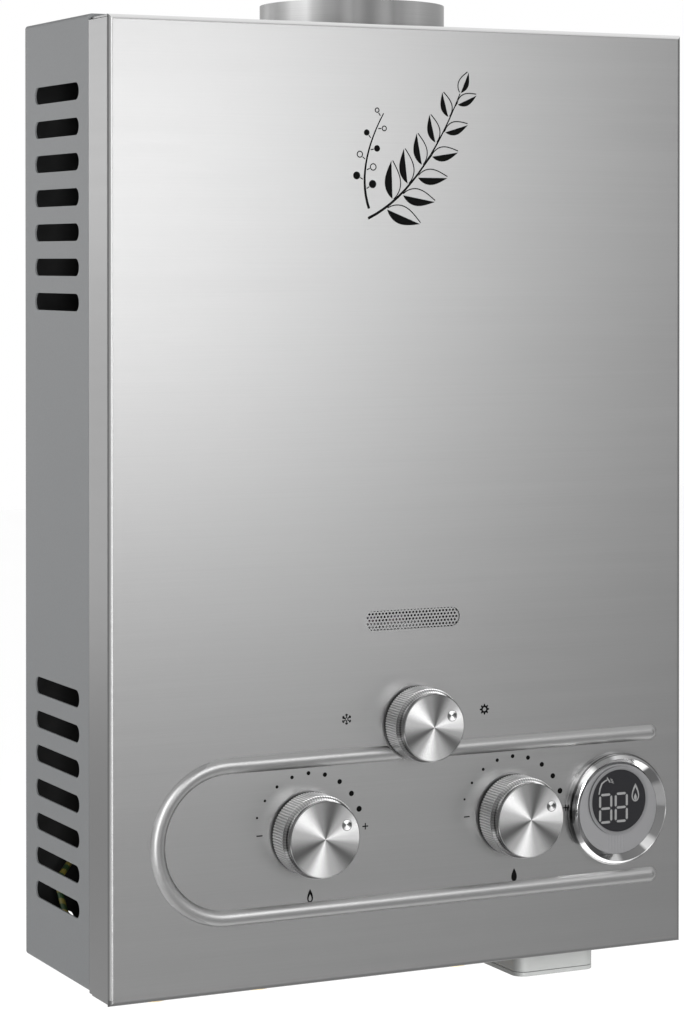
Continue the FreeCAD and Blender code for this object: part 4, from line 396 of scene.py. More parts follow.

# Bands of painted light and shade round the collar, in turns from its right-hand side as seen from
# above
COLLAR_BANDS = (
    (0.0, 0.25), (0.40, 0.28), (0.46, 0.15), (0.51, 0.14), (0.53, 0.26), (0.55, 0.46),
    (0.567, 0.71), (0.597, 0.80), (0.61, 0.50), (0.63, 0.28), (0.655, 0.11), (0.68, 0.042),
    (0.75, 0.052), (0.765, 0.11), (0.78, 0.21), (0.80, 0.30), (0.87, 0.24), (1.0, 0.25),
)


def powder_coat(name, colour, low, high):
    """Satin stoved paint with a faint orange peel, and painted shade, nearly black and dull, on the
    faces inside.
    """
    material, tree, shader = start(name, colour, roughness=0.5, Specular_IOR_Level=0.2)
    grain = noise(tree, places(tree), 900, 4)
    cloud = noise(tree, places(tree), 9, 2)
    tone = mixed(tree, cloud, scaled(colour, 0.95), scaled(colour, 1.05))
    # Painted shade: faces inside the sheet that look inward are made nearly black
    outward = vector_maths(tree, "SUBTRACT", coordinates(tree), (low + high) / 2)["Vector"]
    facing = vector_maths(tree, "DOT_PRODUCT", outward, coordinates(tree, "Normal"))["Value"]
    off_middle = add(tree, "ShaderNodeSeparateXYZ", Vector=outward).outputs["X"]
    reach = (high.x - low.x) / 2 - HOUSING_SHEET
    within = maths(tree, "LESS_THAN", maths(tree, "ABSOLUTE", off_middle), reach)
    within = maths(tree, "MULTIPLY", maths(tree, "LESS_THAN", facing, 0.0), within)
    tone = mixed(tree, within, tone, scaled(colour, 0.08))
    shade(tree, shader, tone, spread(tree, grain, 0.46, 0.58))
    bump(tree, shader, grain, 0.12, 0.4 * MM)
    return material


def brushed_sheet(name, colour, roughness=0.36, contrast=0.05, depth=0.1, folds=None):
    """Sheet with fine level brush lines, and painted highlight and shade on the cover's folds."""
    material, tree, shader = start(name, colour, 1.0, roughness, Anisotropic=0.35)
    fine = noise(tree, places(tree, (14, 14, 3200)), 1.0, 5, 0.65)
    broad = noise(tree, places(tree, (5, 5, 160)), 1.0, 3)
    fine_part, broad_part = maths(tree, "MULTIPLY", fine, 0.7), maths(tree, "MULTIPLY", broad, 0.3)
    lines = maths(tree, "ADD", fine_part, broad_part)
    peak = max(level for fold in folds for _, level in fold) if folds else 1.0
    dark, light = (scaled(colour, peak * (1 + side * contrast * 2)) for side in (-1, 1))
    tone = mixed(tree, lines, dark, light)
    if folds:
        # Painted highlight and shade on the folds, chosen by which way each face looks
        normal, place = axes(tree, "Normal"), axes(tree)
        facing = maths(tree, "ABSOLUTE", normal["Y"])
        left, other, foot, top = (
            ramp(tree, facing, [(at, level / peak) for at, level in fold]) for fold in folds
        )
        low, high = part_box("front_cover")
        looks_left = maths(tree, "LESS_THAN", normal["X"], -FOLD_LOOK)
        looks_up = maths(tree, "GREATER_THAN", normal["Z"], FOLD_LOOK)
        at_foot = maths(tree, "LESS_THAN", place["Z"], low.z + FOLD_REACH)
        at_right = maths(tree, "GREATER_THAN", place["X"], high.x - FOLD_REACH)
        at_top = maths(tree, "GREATER_THAN", place["Z"], high.z - FOLD_REACH)
        level = mixed(tree, looks_left, other, left)
        level = mixed(tree, maths(tree, "MAXIMUM", at_foot, at_right), level, foot)
        level = mixed(tree, maths(tree, "MULTIPLY", at_top, looks_up), level, top)
        tone = toned(tree, tone, level)
    shade(tree, shader, tone, spread(tree, lines, roughness - 0.06, roughness + 0.06))
    bump(tree, shader, fine, depth, 0.05 * MM)
    return material


def flue_pipe(name, centre, bands):
    """Drawn pipe end with upright bands of light and shade round it."""
    material, tree, shader = start(name, (0.3, 0.3, 0.3), 1.0, 0.34, Anisotropic=0.35)
    place = axes(tree)
    dx = maths(tree, "SUBTRACT", place["X"], centre[0])
    dy = maths(tree, "SUBTRACT", place["Y"], centre[1])
    lines = noise(tree, places(tree, (14, 14, 2200)), 1.0, 4)
    tone = toned(tree, ramp(tree, turned(tree, dx, dy), bands), spread(tree, lines, 0.9, 1.1))
    shade(tree, shader, tone, spread(tree, lines, 0.3, 0.4))
    bump(tree, shader, lines, 0.1, 0.05 * MM)
    return material


def plated(name, colour, roughness=0.3):
    """Zinc plating: cloudy, a little uneven in gloss."""
    material, tree, shader = start(name, colour, 1.0, roughness)
    cloud = noise(tree, places(tree), 120, 4)
    warm = (colour[0] * 1.08, colour[1], colour[2] * 0.86)
    cool = (colour[0] * 0.86, colour[1] * 0.96, colour[2] * 1.08)
    tone = mixed(tree, cloud, warm, cool)
    shade(tree, shader, tone, spread(tree, cloud, roughness - 0.08, roughness + 0.14))
    bump(tree, shader, noise(tree, places(tree), 2200, 2), 0.08, 0.1 * MM)
    return material


def spangled(name, colour):
    """Galvanised sheet with crystal flakes."""
    material, tree, shader = start(name, colour, 1.0, 0.42)
    cells = add(tree, "ShaderNodeTexVoronoi", Vector=places(tree), Scale=180)
    flake = add(tree, "ShaderNodeSeparateColor", Color=cells.outputs["Color"]).outputs["Red"]
    tone = mixed(tree, flake, scaled(colour, 0.82), scaled(colour, 1.16))
    shade(tree, shader, tone, spread(tree, flake, 0.32, 0.52))
    bump(tree, shader, noise(tree, places(tree), 600, 3), 0.06, 0.2 * MM)
    return material


def tarnished(name, colour, stain, roughness=0.28, size=60):
    """Bright metal with darker patches where heat and air have stained it."""
    material, tree, shader = start(name, colour, 1.0, roughness)
    patch = noise(tree, places(tree), size, 5, 0.6)
    amount = ramp(tree, patch, [(0.42, 0.0), (0.68, 1.0)])
    tone = mixed(tree, amount, colour, stain)
    shade(tree, shader, tone, spread(tree, patch, roughness - 0.08, roughness + 0.22))
    bump(tree, shader, noise(tree, places(tree), 1500, 3), 0.1, 0.1 * MM)
    return material


def cast(name, colour, roughness=0.5):
    """Die-cast or sand-cast skin with a fine grain."""
    material, tree, shader = start(name, colour, 1.0, roughness)
    grain = noise(tree, places(tree), 1400, 5, 0.7)
    cloud = noise(tree, places(tree), 45, 2)
    tone = mixed(tree, cloud, scaled(colour, 0.88), scaled(colour, 1.08))
    shade(tree, shader, tone, spread(tree, grain, roughness - 0.12, roughness + 0.12))
    bump(tree, shader, grain, 0.3, 0.3 * MM)
    return material


def moulded(name, colour, roughness=0.5, grain_scale=1800, depth=0.15, left=1.0, **sockets):
    """Injection-moulded skin with a fine spark-eroded grain; faces to the left can take painted
    shade.
    """
    material, tree, shader = start(name, colour, 0.0, roughness, **sockets)
    grain = noise(tree, places(tree), grain_scale, 3)
    cloud = noise(tree, places(tree), 22, 2)
    tone = mixed(tree, cloud, scaled(colour, 0.94), scaled(colour, 1.05))
    if left < 1.0:
        # Painted shade on faces that look left
        tone = toned(tree, tone, spread(tree, axes(tree, "Normal")["X"], left, 1.0, -1.0, -0.3))
    shade(tree, shader, tone, spread(tree, grain, roughness - 0.07, roughness + 0.07))
    bump(tree, shader, grain, depth, 0.2 * MM)
    return material


def heat_stained(name, colour, low, high):
    """Burner steel that turns straw, brown and blue towards the flame."""
    material, tree, shader = start(name, colour, 1.0, 0.4)
    cloud = noise(tree, places(tree), 70, 3)
    height = spread(tree, axes(tree)["Z"], 0.0, 1.0, low, high)
    wave = maths(tree, "ADD", height, spread(tree, cloud, -0.15, 0.15))
    stain = ramp(
        tree, wave,
        [
            (0.0, colour), (0.6, (0.42, 0.34, 0.22)), (0.8, (0.28, 0.17, 0.13)),
            (1.0, (0.13, 0.14, 0.22)),
        ],
    )
    shade(tree, shader, stain, spread(tree, cloud, 0.3, 0.55))
    bump(tree, shader, noise(tree, places(tree), 1300, 3), 0.1, 0.1 * MM)
    return material


def spun_face(name, centre, rim, sheen):
    """Turned aluminium: fine rings, painted fans of light, a darker edge of painted reflection and
    a pointer mark painted with the light and shade of its hollow.
    """
    material, tree, shader = start(name, (0.8, 0.8, 0.8), 1.0, 0.28)
    turns, radius = polar(tree, centre)
    fans = ramp(
        tree, turns,
        [
            (0.0, 0.75), (0.05, 0.97), (0.125, 0.45), (0.21, 0.115), (0.29, 0.26), (0.385, 0.95),
            (0.46, 0.47), (0.57, 0.11), (0.64, 0.4), (0.70, 0.95), (0.79, 0.43), (0.895, 0.12),
            (0.955, 0.36), (1.0, 0.75),
        ],
        "EASE",
    )
    rings = maths(tree, "SINE", maths(tree, "MULTIPLY", radius, 2 * math.pi / FACE_RING_PITCH))
    front = toned(tree, fans, spread(tree, rings, 0.96 * sheen, 1.04 * sheen, -1.0, 1.0))
    # Painted reflection round the face's edge, dark and bright by angle
    edge = ramp(
        tree, turns,
        [
            (0.0, 0.3), (0.15, 0.12), (0.175, 0.08), (0.19, 0.95), (0.225, 0.9), (0.24, 0.22),
            (0.33, 0.26), (0.375, 0.16), (0.46, 0.08), (0.51, 0.11), (0.535, 0.3), (0.56, 0.14),
            (0.61, 0.13), (0.67, 0.3), (0.75, 0.35), (1.0, 0.3),
        ],
    )
    at_edge = maths(tree, "GREATER_THAN", radius, rim)
    # Pointer mark: the hollow's painted light and shade, bright above and below and dark at the
    # sides, inside a dark painted rim
    reach = rim - POINTER_INSET
    angle = math.radians(POINTER_ANGLE)
    pointer = (centre[0] + reach * math.cos(angle), centre[1] + reach * math.sin(angle))
    around, off_pointer = polar(tree, pointer)
    pointer_light_and_shade = ramp(
        tree, around,
        [
            (0.0, 0.06), (0.08, 0.05), (0.15, 0.5), (0.34, 0.55), (0.42, 0.05), (0.6, 0.07),
            (0.7, 0.4), (0.85, 0.6), (0.94, 0.1),
        ],
    )
    on_ring = maths(tree, "GREATER_THAN", off_pointer, POINTER_RADIUS[1])
    on_pointer = maths(tree, "LESS_THAN", off_pointer, POINTER_RADIUS[0])
    front = mixed(tree, on_pointer, front, mixed(tree, on_ring, pointer_light_and_shade, (0.12, 0.12, 0.12)))
    tone = mixed(tree, at_edge, front, edge)
    shade(tree, shader, tone, spread(tree, rings, 0.24, 0.32, -1.0, 1.0))
    bump(tree, shader, rings, 0.06, 0.05 * MM)
    return material


def ridged_sleeve(name, centre, shoulder, foot):
    """Plated sleeve with painted light and shade: ridges painted as light stripes brightest at the
    top, a dark foot of painted shade and a softer painted shoulder.
    """
    material, tree, shader = start(name, (0.42, 0.42, 0.42), 1.0, 0.3)
    turns, _ = polar(tree, centre)
    depth = axes(tree)["Y"]
    side = ramp(
        tree, turns,
        [
            (0.0, 0.6), (0.16, 0.85), (0.25, 0.95), (0.30, 0.8), (0.34, 0.6), (0.42, 0.48),
            (0.46, 0.42), (0.54, 0.46), (0.6, 0.4), (0.66, 0.48), (0.75, 0.5), (1.0, 0.6),
        ],
    )
    shoulder_light = ramp(
        tree, turns,
        [
            (0.0, 0.5), (0.15, 0.3), (0.2, 0.9), (0.26, 0.8), (0.3, 0.6), (0.35, 0.42), (0.42, 0.2),
            (0.46, 0.1), (0.53, 0.1), (0.55, 0.32), (0.6, 0.18), (0.7, 0.14), (0.8, 0.3),
            (1.0, 0.5),
        ],
    )
    # Painted highlights along the ridges
    ridges = maths(tree, "COSINE", maths(tree, "MULTIPLY", turns, 2 * math.pi * SLEEVE_RIDGES))
    side = toned(tree, side, spread(tree, ridges, 0.68, 1.3, -1.0, 1.0))
    shoulder_light = toned(tree, shoulder_light, spread(tree, ridges, 0.75, 1.2, -1.0, 1.0))
    tone = mixed(tree, maths(tree, "LESS_THAN", depth, shoulder), side, shoulder_light)
    # Painted shade at the foot, next to the cover
    tone = mixed(tree, maths(tree, "GREATER_THAN", depth, foot), tone, (0.015, 0.015, 0.015))
    cloud = noise(tree, places(tree), 120, 4)
    shade(tree, shader, tone, spread(tree, cloud, 0.24, 0.36))
    bump(tree, shader, noise(tree, places(tree), 2200, 2), 0.08, 0.1 * MM)
    return material


def ring_chrome(name, centre, crest):
    """Bright plating with painted broken studio reflections of a round moulding."""
    material, tree, shader = start(name, (0.86, 0.86, 0.87), 1.0, 0.07)
    turns, radius = polar(tree, centre)
    outer = ramp(
        tree, turns,
        [
            (0.0, 0.2), (0.06, 0.3), (0.11, 0.08), (0.15, 0.16), (0.22, 0.3), (0.27, 0.6),
            (0.29, 0.2), (0.34, 0.2), (0.36, 1.0), (0.40, 0.95), (0.42, 0.3), (0.45, 0.04),
            (0.48, 0.2), (0.49, 0.03), (0.56, 0.03), (0.59, 0.2), (0.60, 0.95), (0.74, 0.98),
            (0.82, 0.2), (0.85, 0.8), (0.87, 0.75), (0.89, 0.12), (0.96, 0.2), (0.98, 0.6),
            (1.0, 0.2),
        ],
    )
    inner = ramp(
        tree, turns,
        [
            (0.0, 0.14), (0.07, 0.16), (0.09, 0.04), (0.14, 0.04), (0.15, 0.7), (0.26, 0.9),
            (0.37, 0.7), (0.39, 0.05), (0.44, 0.05), (0.46, 0.35), (0.52, 0.25), (0.58, 0.6),
            (0.62, 0.15), (0.68, 0.15), (0.70, 0.5), (0.74, 0.5), (0.76, 0.12), (0.84, 0.15),
            (0.85, 0.7), (0.88, 0.6), (0.9, 0.16), (1.0, 0.14),
        ],
    )
    painted_reflections = mixed(tree, maths(tree, "GREATER_THAN", radius, crest), inner, outer)
    speck = noise(tree, places(tree), 500, 2)
    tone = mixed(tree, 0.95, (0.8, 0.8, 0.81), painted_reflections)
    shade(tree, shader, tone, spread(tree, speck, 0.05, 0.1))
    bump(tree, shader, speck, 0.02, 0.1 * MM)
    return material


def fluted_plate(name, colour, flutes, centre, radius):
    """Satin silver plate with shallow upright flutes below the lens, painted a little lighter on
    their crests, and a painted soft shadow round it.
    """
    material, tree, shader = start(name, colour, 0.75, 0.42)
    place = axes(tree)
    wave = maths(tree, "SINE", maths(tree, "MULTIPLY", place["X"], 2 * math.pi / FLUTE_PITCH))
    offset = maths(tree, "ABSOLUTE", maths(tree, "SUBTRACT", place["X"], flutes))
    near = maths(tree, "LESS_THAN", offset, FLUTES_HALF_SPAN)
    low = maths(tree, "LESS_THAN", place["Z"], centre[1] - radius + FLUTES_PLACE[1])
    grooves = maths(tree, "MULTIPLY", maths(tree, "MULTIPLY", wave, near), low)
    grain = noise(tree, places(tree), 1500, 3)
    height = maths(tree, "ADD", grooves, maths(tree, "MULTIPLY", grain, 0.25))
    crest_highlight = spread(tree, grooves, 0.0, 1.0, -1.0, 1.0)
    tone = mixed(tree, crest_highlight, scaled(colour, 0.97), scaled(colour, 1.03))
    _, reach = polar(tree, centre)
    shadow = spread(tree, reach, 0.65, 1.0, radius, radius + LENS_SHADOW)
    shade(tree, shader, toned(tree, tone, shadow), spread(tree, grain, 0.36, 0.48))
    bump(tree, shader, height, 0.12, 0.1 * MM)
    return material


def striped_sleeve(name, base, stripe, pitch):
    """Two-coloured insulation that winds round the wire."""
    material, tree, shader = start(name, base, 0.0, 0.45)
    place = axes(tree)
    along = maths(tree, "ADD", maths(tree, "ADD", place["X"], place["Z"]), place["Y"])
    wave = maths(tree, "SINE", maths(tree, "MULTIPLY", along, 2 * math.pi / pitch))
    band = ramp(tree, spread(tree, wave, 0.0, 1.0, -1.0, 1.0), [(0.45, base), (0.55, stripe)])
    shade(tree, shader, band, spread(tree, noise(tree, places(tree), 900), 0.38, 0.55))
    return material


def circuit_board(name, colour):
    """Solder mask over copper tracks."""
    material, tree, shader = start(name, colour, 0.0, 0.35)
    tracks = add(tree, "ShaderNodeTexBrick", Vector=places(tree), Scale=260, Mortar_Size=0.05)
    tracks.inputs["Color1"].default_value = (*colour, 1)
    tracks.inputs["Color2"].default_value = (*scaled(colour, 0.85), 1)
    tracks.inputs["Mortar"].default_value = (*scaled(colour, 1.9), 1)
    grain = noise(tree, places(tree), 700)
    shade(tree, shader, tracks.outputs["Color"], spread(tree, grain, 0.28, 0.45))
    bump(tree, shader, tracks.outputs["Fac"], 0.2, 0.1 * MM)
    return material


def cell_sleeve(name, colour, low, high):
    """Plain printed sleeve between bare metal ends."""
    material, tree, shader = start(name, colour, 0.5, 0.3)
    silver = (0.62, 0.62, 0.63)
    band = ramp(
        tree, spread(tree, axes(tree)["Z"], 0.0, 1.0, low, high),
        [(0.03, silver), (0.035, colour), (0.93, colour), (0.94, silver)],
    )
    shade(tree, shader, band, spread(tree, noise(tree, places(tree), 300), 0.24, 0.38))
    return material


def front_centre(node):
    """X and Z of the middle of a CAD node."""
    low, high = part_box(node)
    return (low.x + high.x) / 2, (low.z + high.z) / 2


bezel_centre = front_centre("display_bezel")
lens_centre = front_centre("display_lens")
lens_low, lens_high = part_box("display_lens")
lens_radius = (lens_high.x - lens_low.x) / 2
collar_low, collar_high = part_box("flue_collar")
collar_centre = ((collar_low.x + collar_high.x) / 2, (collar_low.y + collar_high.y) / 2)
bar_low, bar_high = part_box("burner_bars")
cells_low, cells_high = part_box("battery_cells")

slots = {
    "housing_paint": powder_coat("housing_paint", (0.112, 0.116, 0.119), *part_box("rear_housing")),
    "cover_steel": brushed_sheet(
        "cover_steel", (0.126, 0.126, 0.126), 0.35, 0.05, 0.1, COVER_FOLD_SHEEN
    ),
    "plated_steel": plated("plated_steel", (0.60, 0.60, 0.58)),
    "screen_steel": brushed_sheet("screen_steel", (0.135, 0.135, 0.135), 0.4, 0.08),
    "flue_steel": flue_pipe("flue_steel", collar_centre, COLLAR_BANDS),
    "galvanised_steel": spangled("galvanised_steel", (0.50, 0.51, 0.52)),
    "copper": tarnished("copper", (0.74, 0.38, 0.25), (0.34, 0.15, 0.09), 0.32, 40),
    "copper_tube": tarnished("copper_tube", (0.80, 0.42, 0.28), (0.46, 0.20, 0.12), 0.24, 55),
    "brass": tarnished("brass", (0.78, 0.60, 0.30), (0.52, 0.36, 0.16), 0.26, 80),
    "burner_steel": heat_stained("burner_steel", (0.45, 0.43, 0.40), bar_low.z, bar_high.z),
    "valve_alloy": cast("valve_alloy", (0.60, 0.60, 0.60)),
    "black_rubber": moulded("black_rubber", (0.02, 0.02, 0.02), 0.65, 900, 0.3),
    "drain_plastic": moulded("drain_plastic", (0.05, 0.05, 0.055), 0.42),
    "spring_steel": plated("spring_steel", (0.62, 0.62, 0.62), 0.22),
    "black_plastic": moulded("black_plastic", (0.025, 0.025, 0.025), 0.45),
    "bezel_chrome": ring_chrome("bezel_chrome", bezel_centre, BEZEL_CREST),
    "display_silver": fluted_plate(
        "display_silver", (0.127, 0.127, 0.13), bezel_centre[0] + FLUTES_PLACE[0], lens_centre,
        lens_radius,
    ),
    "display_black": moulded(
        "display_black", (0.007, 0.007, 0.008), 0.14, 2600, 0.02, Specular_IOR_Level=0.15
    ),
    "board_green": circuit_board("board_green", (0.03, 0.16, 0.07)),
    # The battery box's faces that look left take painted shade
    "battery_plastic": moulded("battery_plastic", (0.215, 0.22, 0.215), 0.48, left=0.4),
    "cell_wrap": cell_sleeve("cell_wrap", (0.05, 0.09, 0.16), cells_low.z, cells_high.z),
    "ceramic_white": moulded("ceramic_white", (0.78, 0.77, 0.72), 0.2, 700, 0.06),
    "lead_red": moulded("lead_red", (0.42, 0.03, 0.02), 0.45, 900, 0.1),
    "lead_white": moulded("lead_white", (0.66, 0.65, 0.60), 0.45, 900, 0.1),
    # Green and yellow stripes, both kept very dark as painted shade inside the housing
    "lead_green_yellow": striped_sleeve(
        "lead_green_yellow", (0.010, 0.035, 0.010), (0.13, 0.11, 0.02), 9 * MM
    ),
}
ink = moulded("print_black", (0.003, 0.003, 0.003), 0.6, 2200, 0.05, Specular_IOR_Level=0.0)
segment_grey = moulded("segment_grey", (0.10, 0.10, 0.10), 0.35, 2200, 0.03)


def paint_cad_nodes():
    """Each node of the frame takes the finish of its slot."""
    for part in frame["record"]["subparts"]:
        node = frame["nodes"][part["node"]]
        low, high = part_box(part["node"])
        finish = part["node"] + "_finish"
        # Knob faces and sleeves get their own materials, with painted light and shade about each
        # knob's centre
        if part["material_slot"] == "knob_face":
            rim = (high.x - low.x) / 2 - FACE_RIM
            material = spun_face(finish, front_centre(part["node"]), rim, FACE_SHEEN[part["node"]])
        elif part["material_slot"] == "knob_metal":
            shoulder, foot = low.y + SLEEVE_SHOULDER, high.y - SLEEVE_FOOT
            material = ridged_sleeve(finish, front_centre(part["node"]), shoulder, foot)
        else:
            material = slots[part["material_slot"]]
        if not node.material_slots:
            node.data.materials.append(None)
        for slot in node.material_slots:
            slot.material = material


# Meshes and objects

def placed(name, data):
    """A new object in the scene."""
    thing = bpy.data.objects.new(name, data)
    bpy.context.scene.collection.objects.link(thing)
    return thing


def meshed(name, shape):
    """The mesh of a bmesh, which ends here."""
    mesh = bpy.data.meshes.new(name)
    shape.to_mesh(mesh)
    shape.free()
    return mesh


# Flat printed shapes, drawn in millimetres as outlines in the plane of the cover

def between(ends, share):
    """A value between two ends."""
    return ends[0] + (ends[1] - ends[0]) * share


def pointing(angle):
    """A direction in the plane of the cover."""
    return Vector((math.cos(angle), math.sin(angle)))


def circle(x, z, radius, count=32):
    """A round outline."""
    steps = [2 * math.pi * k / count for k in range(count)]
    return [(x + radius * math.cos(a), z + radius * math.sin(a)) for a in steps]


def bar(x0, z0, x1, z1, width):
    """A straight line with square ends."""
    along = Vector((x1 - x0, z1 - z0)).normalized() * (width / 2)
    side = Vector((-along.y, along.x))
    return [
        (x0 + side.x, z0 + side.y), (x0 - side.x, z0 - side.y),
        (x1 - side.x, z1 - side.y), (x1 + side.x, z1 + side.y),
    ]


def ribbon(points, widths):
    """A line through points whose width changes along it."""
    left, right = [], []
    for k, (x, z) in enumerate(points):
        before = Vector(points[max(k - 1, 0)])
        after = Vector(points[min(k + 1, len(points) - 1)])
        along = (after - before).normalized()
        half = widths[k] / 2
        left.append((x - along.y * half, z + along.x * half))
        right.append((x + along.y * half, z - along.x * half))
    return left + right[::-1]


def leaf(foot, angle, length, width, side):
    """A pointed leaf: filled on one side of its bare midrib, and only an edge line on the other."""
    along = pointing(angle)
    across = Vector((-along.y, along.x)) * side
    shares = [k / LEAF_STEPS for k in range(LEAF_STEPS + 1)]
    rib = [foot + along * length * share for share in shares]
    reach = [LEAF_RIB + width / 2 * math.sin(math.pi * share ** LEAF_BELLY) for share in shares]
    filled_edge = [point + across * out for point, out in zip(rib, reach)]
    filled_rib = [point + across * LEAF_RIB for point in rib[1:-1]]
    line = [point - across * (out + LEAF_EDGE_LINE / 2) for point, out in zip(rib, reach)]
    return [
        [tuple(point) for point in filled_edge + filled_rib[::-1]],
        ribbon([tuple(point) for point in line], [LEAF_EDGE_LINE] * len(line)),
    ]


def flame(x, z, size):
    """A flame or a drop: round below and pointed above."""
    steps = [2 * math.pi * k / FLAME_POINTS for k in range(FLAME_POINTS)]
    width = size * FLAME_WIDTH
    return [(x + width * math.sin(a) * math.sin(a / 2), z + size * math.cos(a)) for a in steps]


def inside(point, outline):
    """Whether a point lies within an outline."""
    x, z = point
    crossings = 0
    for (x0, z0), (x1, z1) in zip(outline, outline[1:] + outline[:1]):
        if (z0 > z) != (z1 > z) and x < x0 + (z - z0) * (x1 - x0) / (z1 - z0):
            crossings += 1
    return crossings % 2 == 1


def grouped(outlines):
    """Groups of outlines: each outer one with those that lie inside it."""
    groups = []
    for outline in outlines:
        home = next((group for group in groups if inside(outline[0], group[0])), None)
        if home is None:
            groups.append([outline])
        else:
            home.append(outline)
    return groups


def plate(outlines):
    """Mesh of one thin closed plate; an outline inside another is a hole."""
    drawing = bpy.data.curves.new("outline", "CURVE")
    drawing.dimensions = "2D"
    drawing.fill_mode = "BOTH"
    drawing.extrude = PRINT_THICKNESS / 2
    for outline in outlines:
        line = drawing.splines.new("POLY")
        line.points.add(len(outline) - 1)
        line.use_cyclic_u = True
        for point, (x, z) in zip(line.points, outline):
            point.co = (x * MM, z * MM, 0, 1)
    holder = placed("outline", drawing)
    bpy.context.view_layer.update()
    solid = holder.evaluated_get(bpy.context.evaluated_depsgraph_get())
    mesh = bpy.data.meshes.new_from_object(solid)
    bpy.data.objects.remove(holder)
    return mesh


def printed(name, outlines, y, material):
    """All the plates of one print as one piece."""
    shape = bmesh.new()
    for group in grouped(outlines):
        shape.from_mesh(plate(group))
    mesh = meshed(name, shape)
    mesh.transform(Matrix.Translation((0, y, 0)) @ Matrix.Rotation(math.pi / 2, 4, "X"))
    mesh.materials.clear()
    mesh.materials.append(material)
    piece = placed(name, mesh)
    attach(piece, "casing")


def dial_outlines(x, z):
    """Dots that grow round a knob, with a minus and a plus at the ends."""
    outlines = []
    for k in range(DOT_COUNT):
        share = k / (DOT_COUNT - 1)
        angle = math.radians(DOT_START + (DOT_END - DOT_START) * share)
        radius = DOT_SMALL + (DOT_LARGE - DOT_SMALL) * share
        place = (x + DOT_RADIUS_PLACE * math.cos(angle), z + DOT_RADIUS_PLACE * math.sin(angle))
        outlines.append(circle(*place, radius, DOT_POINTS))
    half = MARK_SIZE / 2
    minus_x, minus_z = x + MINUS_PLACE[0], z + MINUS_PLACE[1]
    outlines.append(bar(minus_x - half, minus_z, minus_x + half, minus_z, MARK_LINE))
    outlines.append(plus(x + PLUS_PLACE[0], z + PLUS_PLACE[1], half, MARK_LINE / 2))
    return outlines


def plus(x, z, reach, half):
    """A plus sign as one outline."""
    corner = [(half, reach), (half, half), (reach, half)]
    points = []
    for _ in range(4):
        points += [(x + a, z + b) for a, b in corner]
        corner = [(b, -a) for a, b in corner]
    return points


def snowflake(x, z, radius):
    """Six arms with a pair of twigs each."""
    outlines = []
    middle = Vector((x, z))
    for k in range(6):
        angle = math.pi / 2 + k * math.pi / 3
        tip = pointing(angle) * radius
        outlines.append(bar(*(middle + tip * SNOWFLAKE_HUB), *(middle + tip), SNOWFLAKE_LINES[0]))
        fork = middle + tip * SNOWFLAKE_FORK
        for side in (-1, 1):
            twig = pointing(angle + side * SNOWFLAKE_SPLAY) * radius * SNOWFLAKE_TWIG
            outlines.append(bar(*fork, *(fork + twig), SNOWFLAKE_LINES[1]))
    return outlines


def sun(x, z, radius):
    """A round disc with eight short rays and a bare middle."""
    points = []
    for k in range(SUN_POINTS):
        angle = (k - 0.5) * 2 * math.pi / SUN_POINTS
        reach = radius if k % 4 < 2 else radius * SUN_DISC
        points.append((x + reach * math.cos(angle), z + reach * math.sin(angle)))
    return [points, circle(x, z, radius * SUN_HOLE)]


def stem_line(stem, share):
    """Point and direction along a bent stem, from 0 at its foot to 1 at its tip."""
    foot, bend, tip = (Vector(place) for place in stem)
    point = foot * (1 - share) ** 2 + bend * 2 * share * (1 - share) + tip * share ** 2
    direction = (bend - foot) * (1 - share) + (tip - bend) * share
    return point, math.atan2(direction.y, direction.x)


def stem_outline(stem):
    """A stem that thins towards its tip."""
    shares = [k / STEM_STEPS for k in range(STEM_STEPS + 1)]
    points = [tuple(stem_line(stem, share)[0]) for share in shares]
    return ribbon(points, [between(STEM_WIDTH, share) for share in shares])


def branch_outlines():
    """A bent branch with leaves on alternate sides and one at its tip."""
    outlines = [stem_outline(BRANCH)]
    for k in range(LEAF_COUNT):
        share = between(LEAF_SPAN, k / (LEAF_COUNT - 1))
        point, angle = stem_line(BRANCH, share)
        side = 1 if k % 2 else -1
        lean = angle + side * math.radians(between(LEAF_LEAN, share))
        foot = point + pointing(lean) * LEAF_OFFSET
        outlines += leaf(foot, lean, between(LEAF_LENGTH, share), between(LEAF_WIDTH, share), side)
    tip, angle = stem_line(BRANCH, 1.0)
    foot = tip + pointing(angle) * LEAF_TIP_OFFSET
    return outlines + leaf(foot, angle, LEAF_LENGTH[1], LEAF_WIDTH[1], -1)


def twig_outlines():
    """A shorter bent twig with round berries on stalks, filled and open by turns."""
    outlines = [stem_outline(TWIG)]
    for k in range(BERRY_COUNT):
        share = between(BERRY_SPAN, k / (BERRY_COUNT - 1))
        point, angle = stem_line(TWIG, share)
        side = 1 if k % 2 else -1
        along = pointing(angle + side * math.radians(BERRY_LEAN))
        radius = between(BERRY_RADIUS, share)
        stalk_foot, stalk_tip = (point + along * reach for reach in BERRY_STALK)
        berry = point + along * (BERRY_STALK[1] + BERRY_GAP + radius)
        outlines += [bar(*stalk_foot, *stalk_tip, LEAF_EDGE_LINE), circle(*berry, radius)]
        if k % 4 > 1:
            outlines.append(circle(*berry, radius - LEAF_EDGE_LINE))
    return outlines


def digit_eight(x, z):
    """All seven bars of a digit, lower left corner at (x, z)."""
    half = DIGIT_HEIGHT / 2
    outlines = []
    for level in (0, half, DIGIT_HEIGHT):
        outlines.append(segment(x, z + level, x + DIGIT_WIDTH, z + level))
    for left in (0, DIGIT_WIDTH):
        for level in (0, half):
            outlines.append(segment(x + left, z + level, x + left, z + level + half))
    return outlines


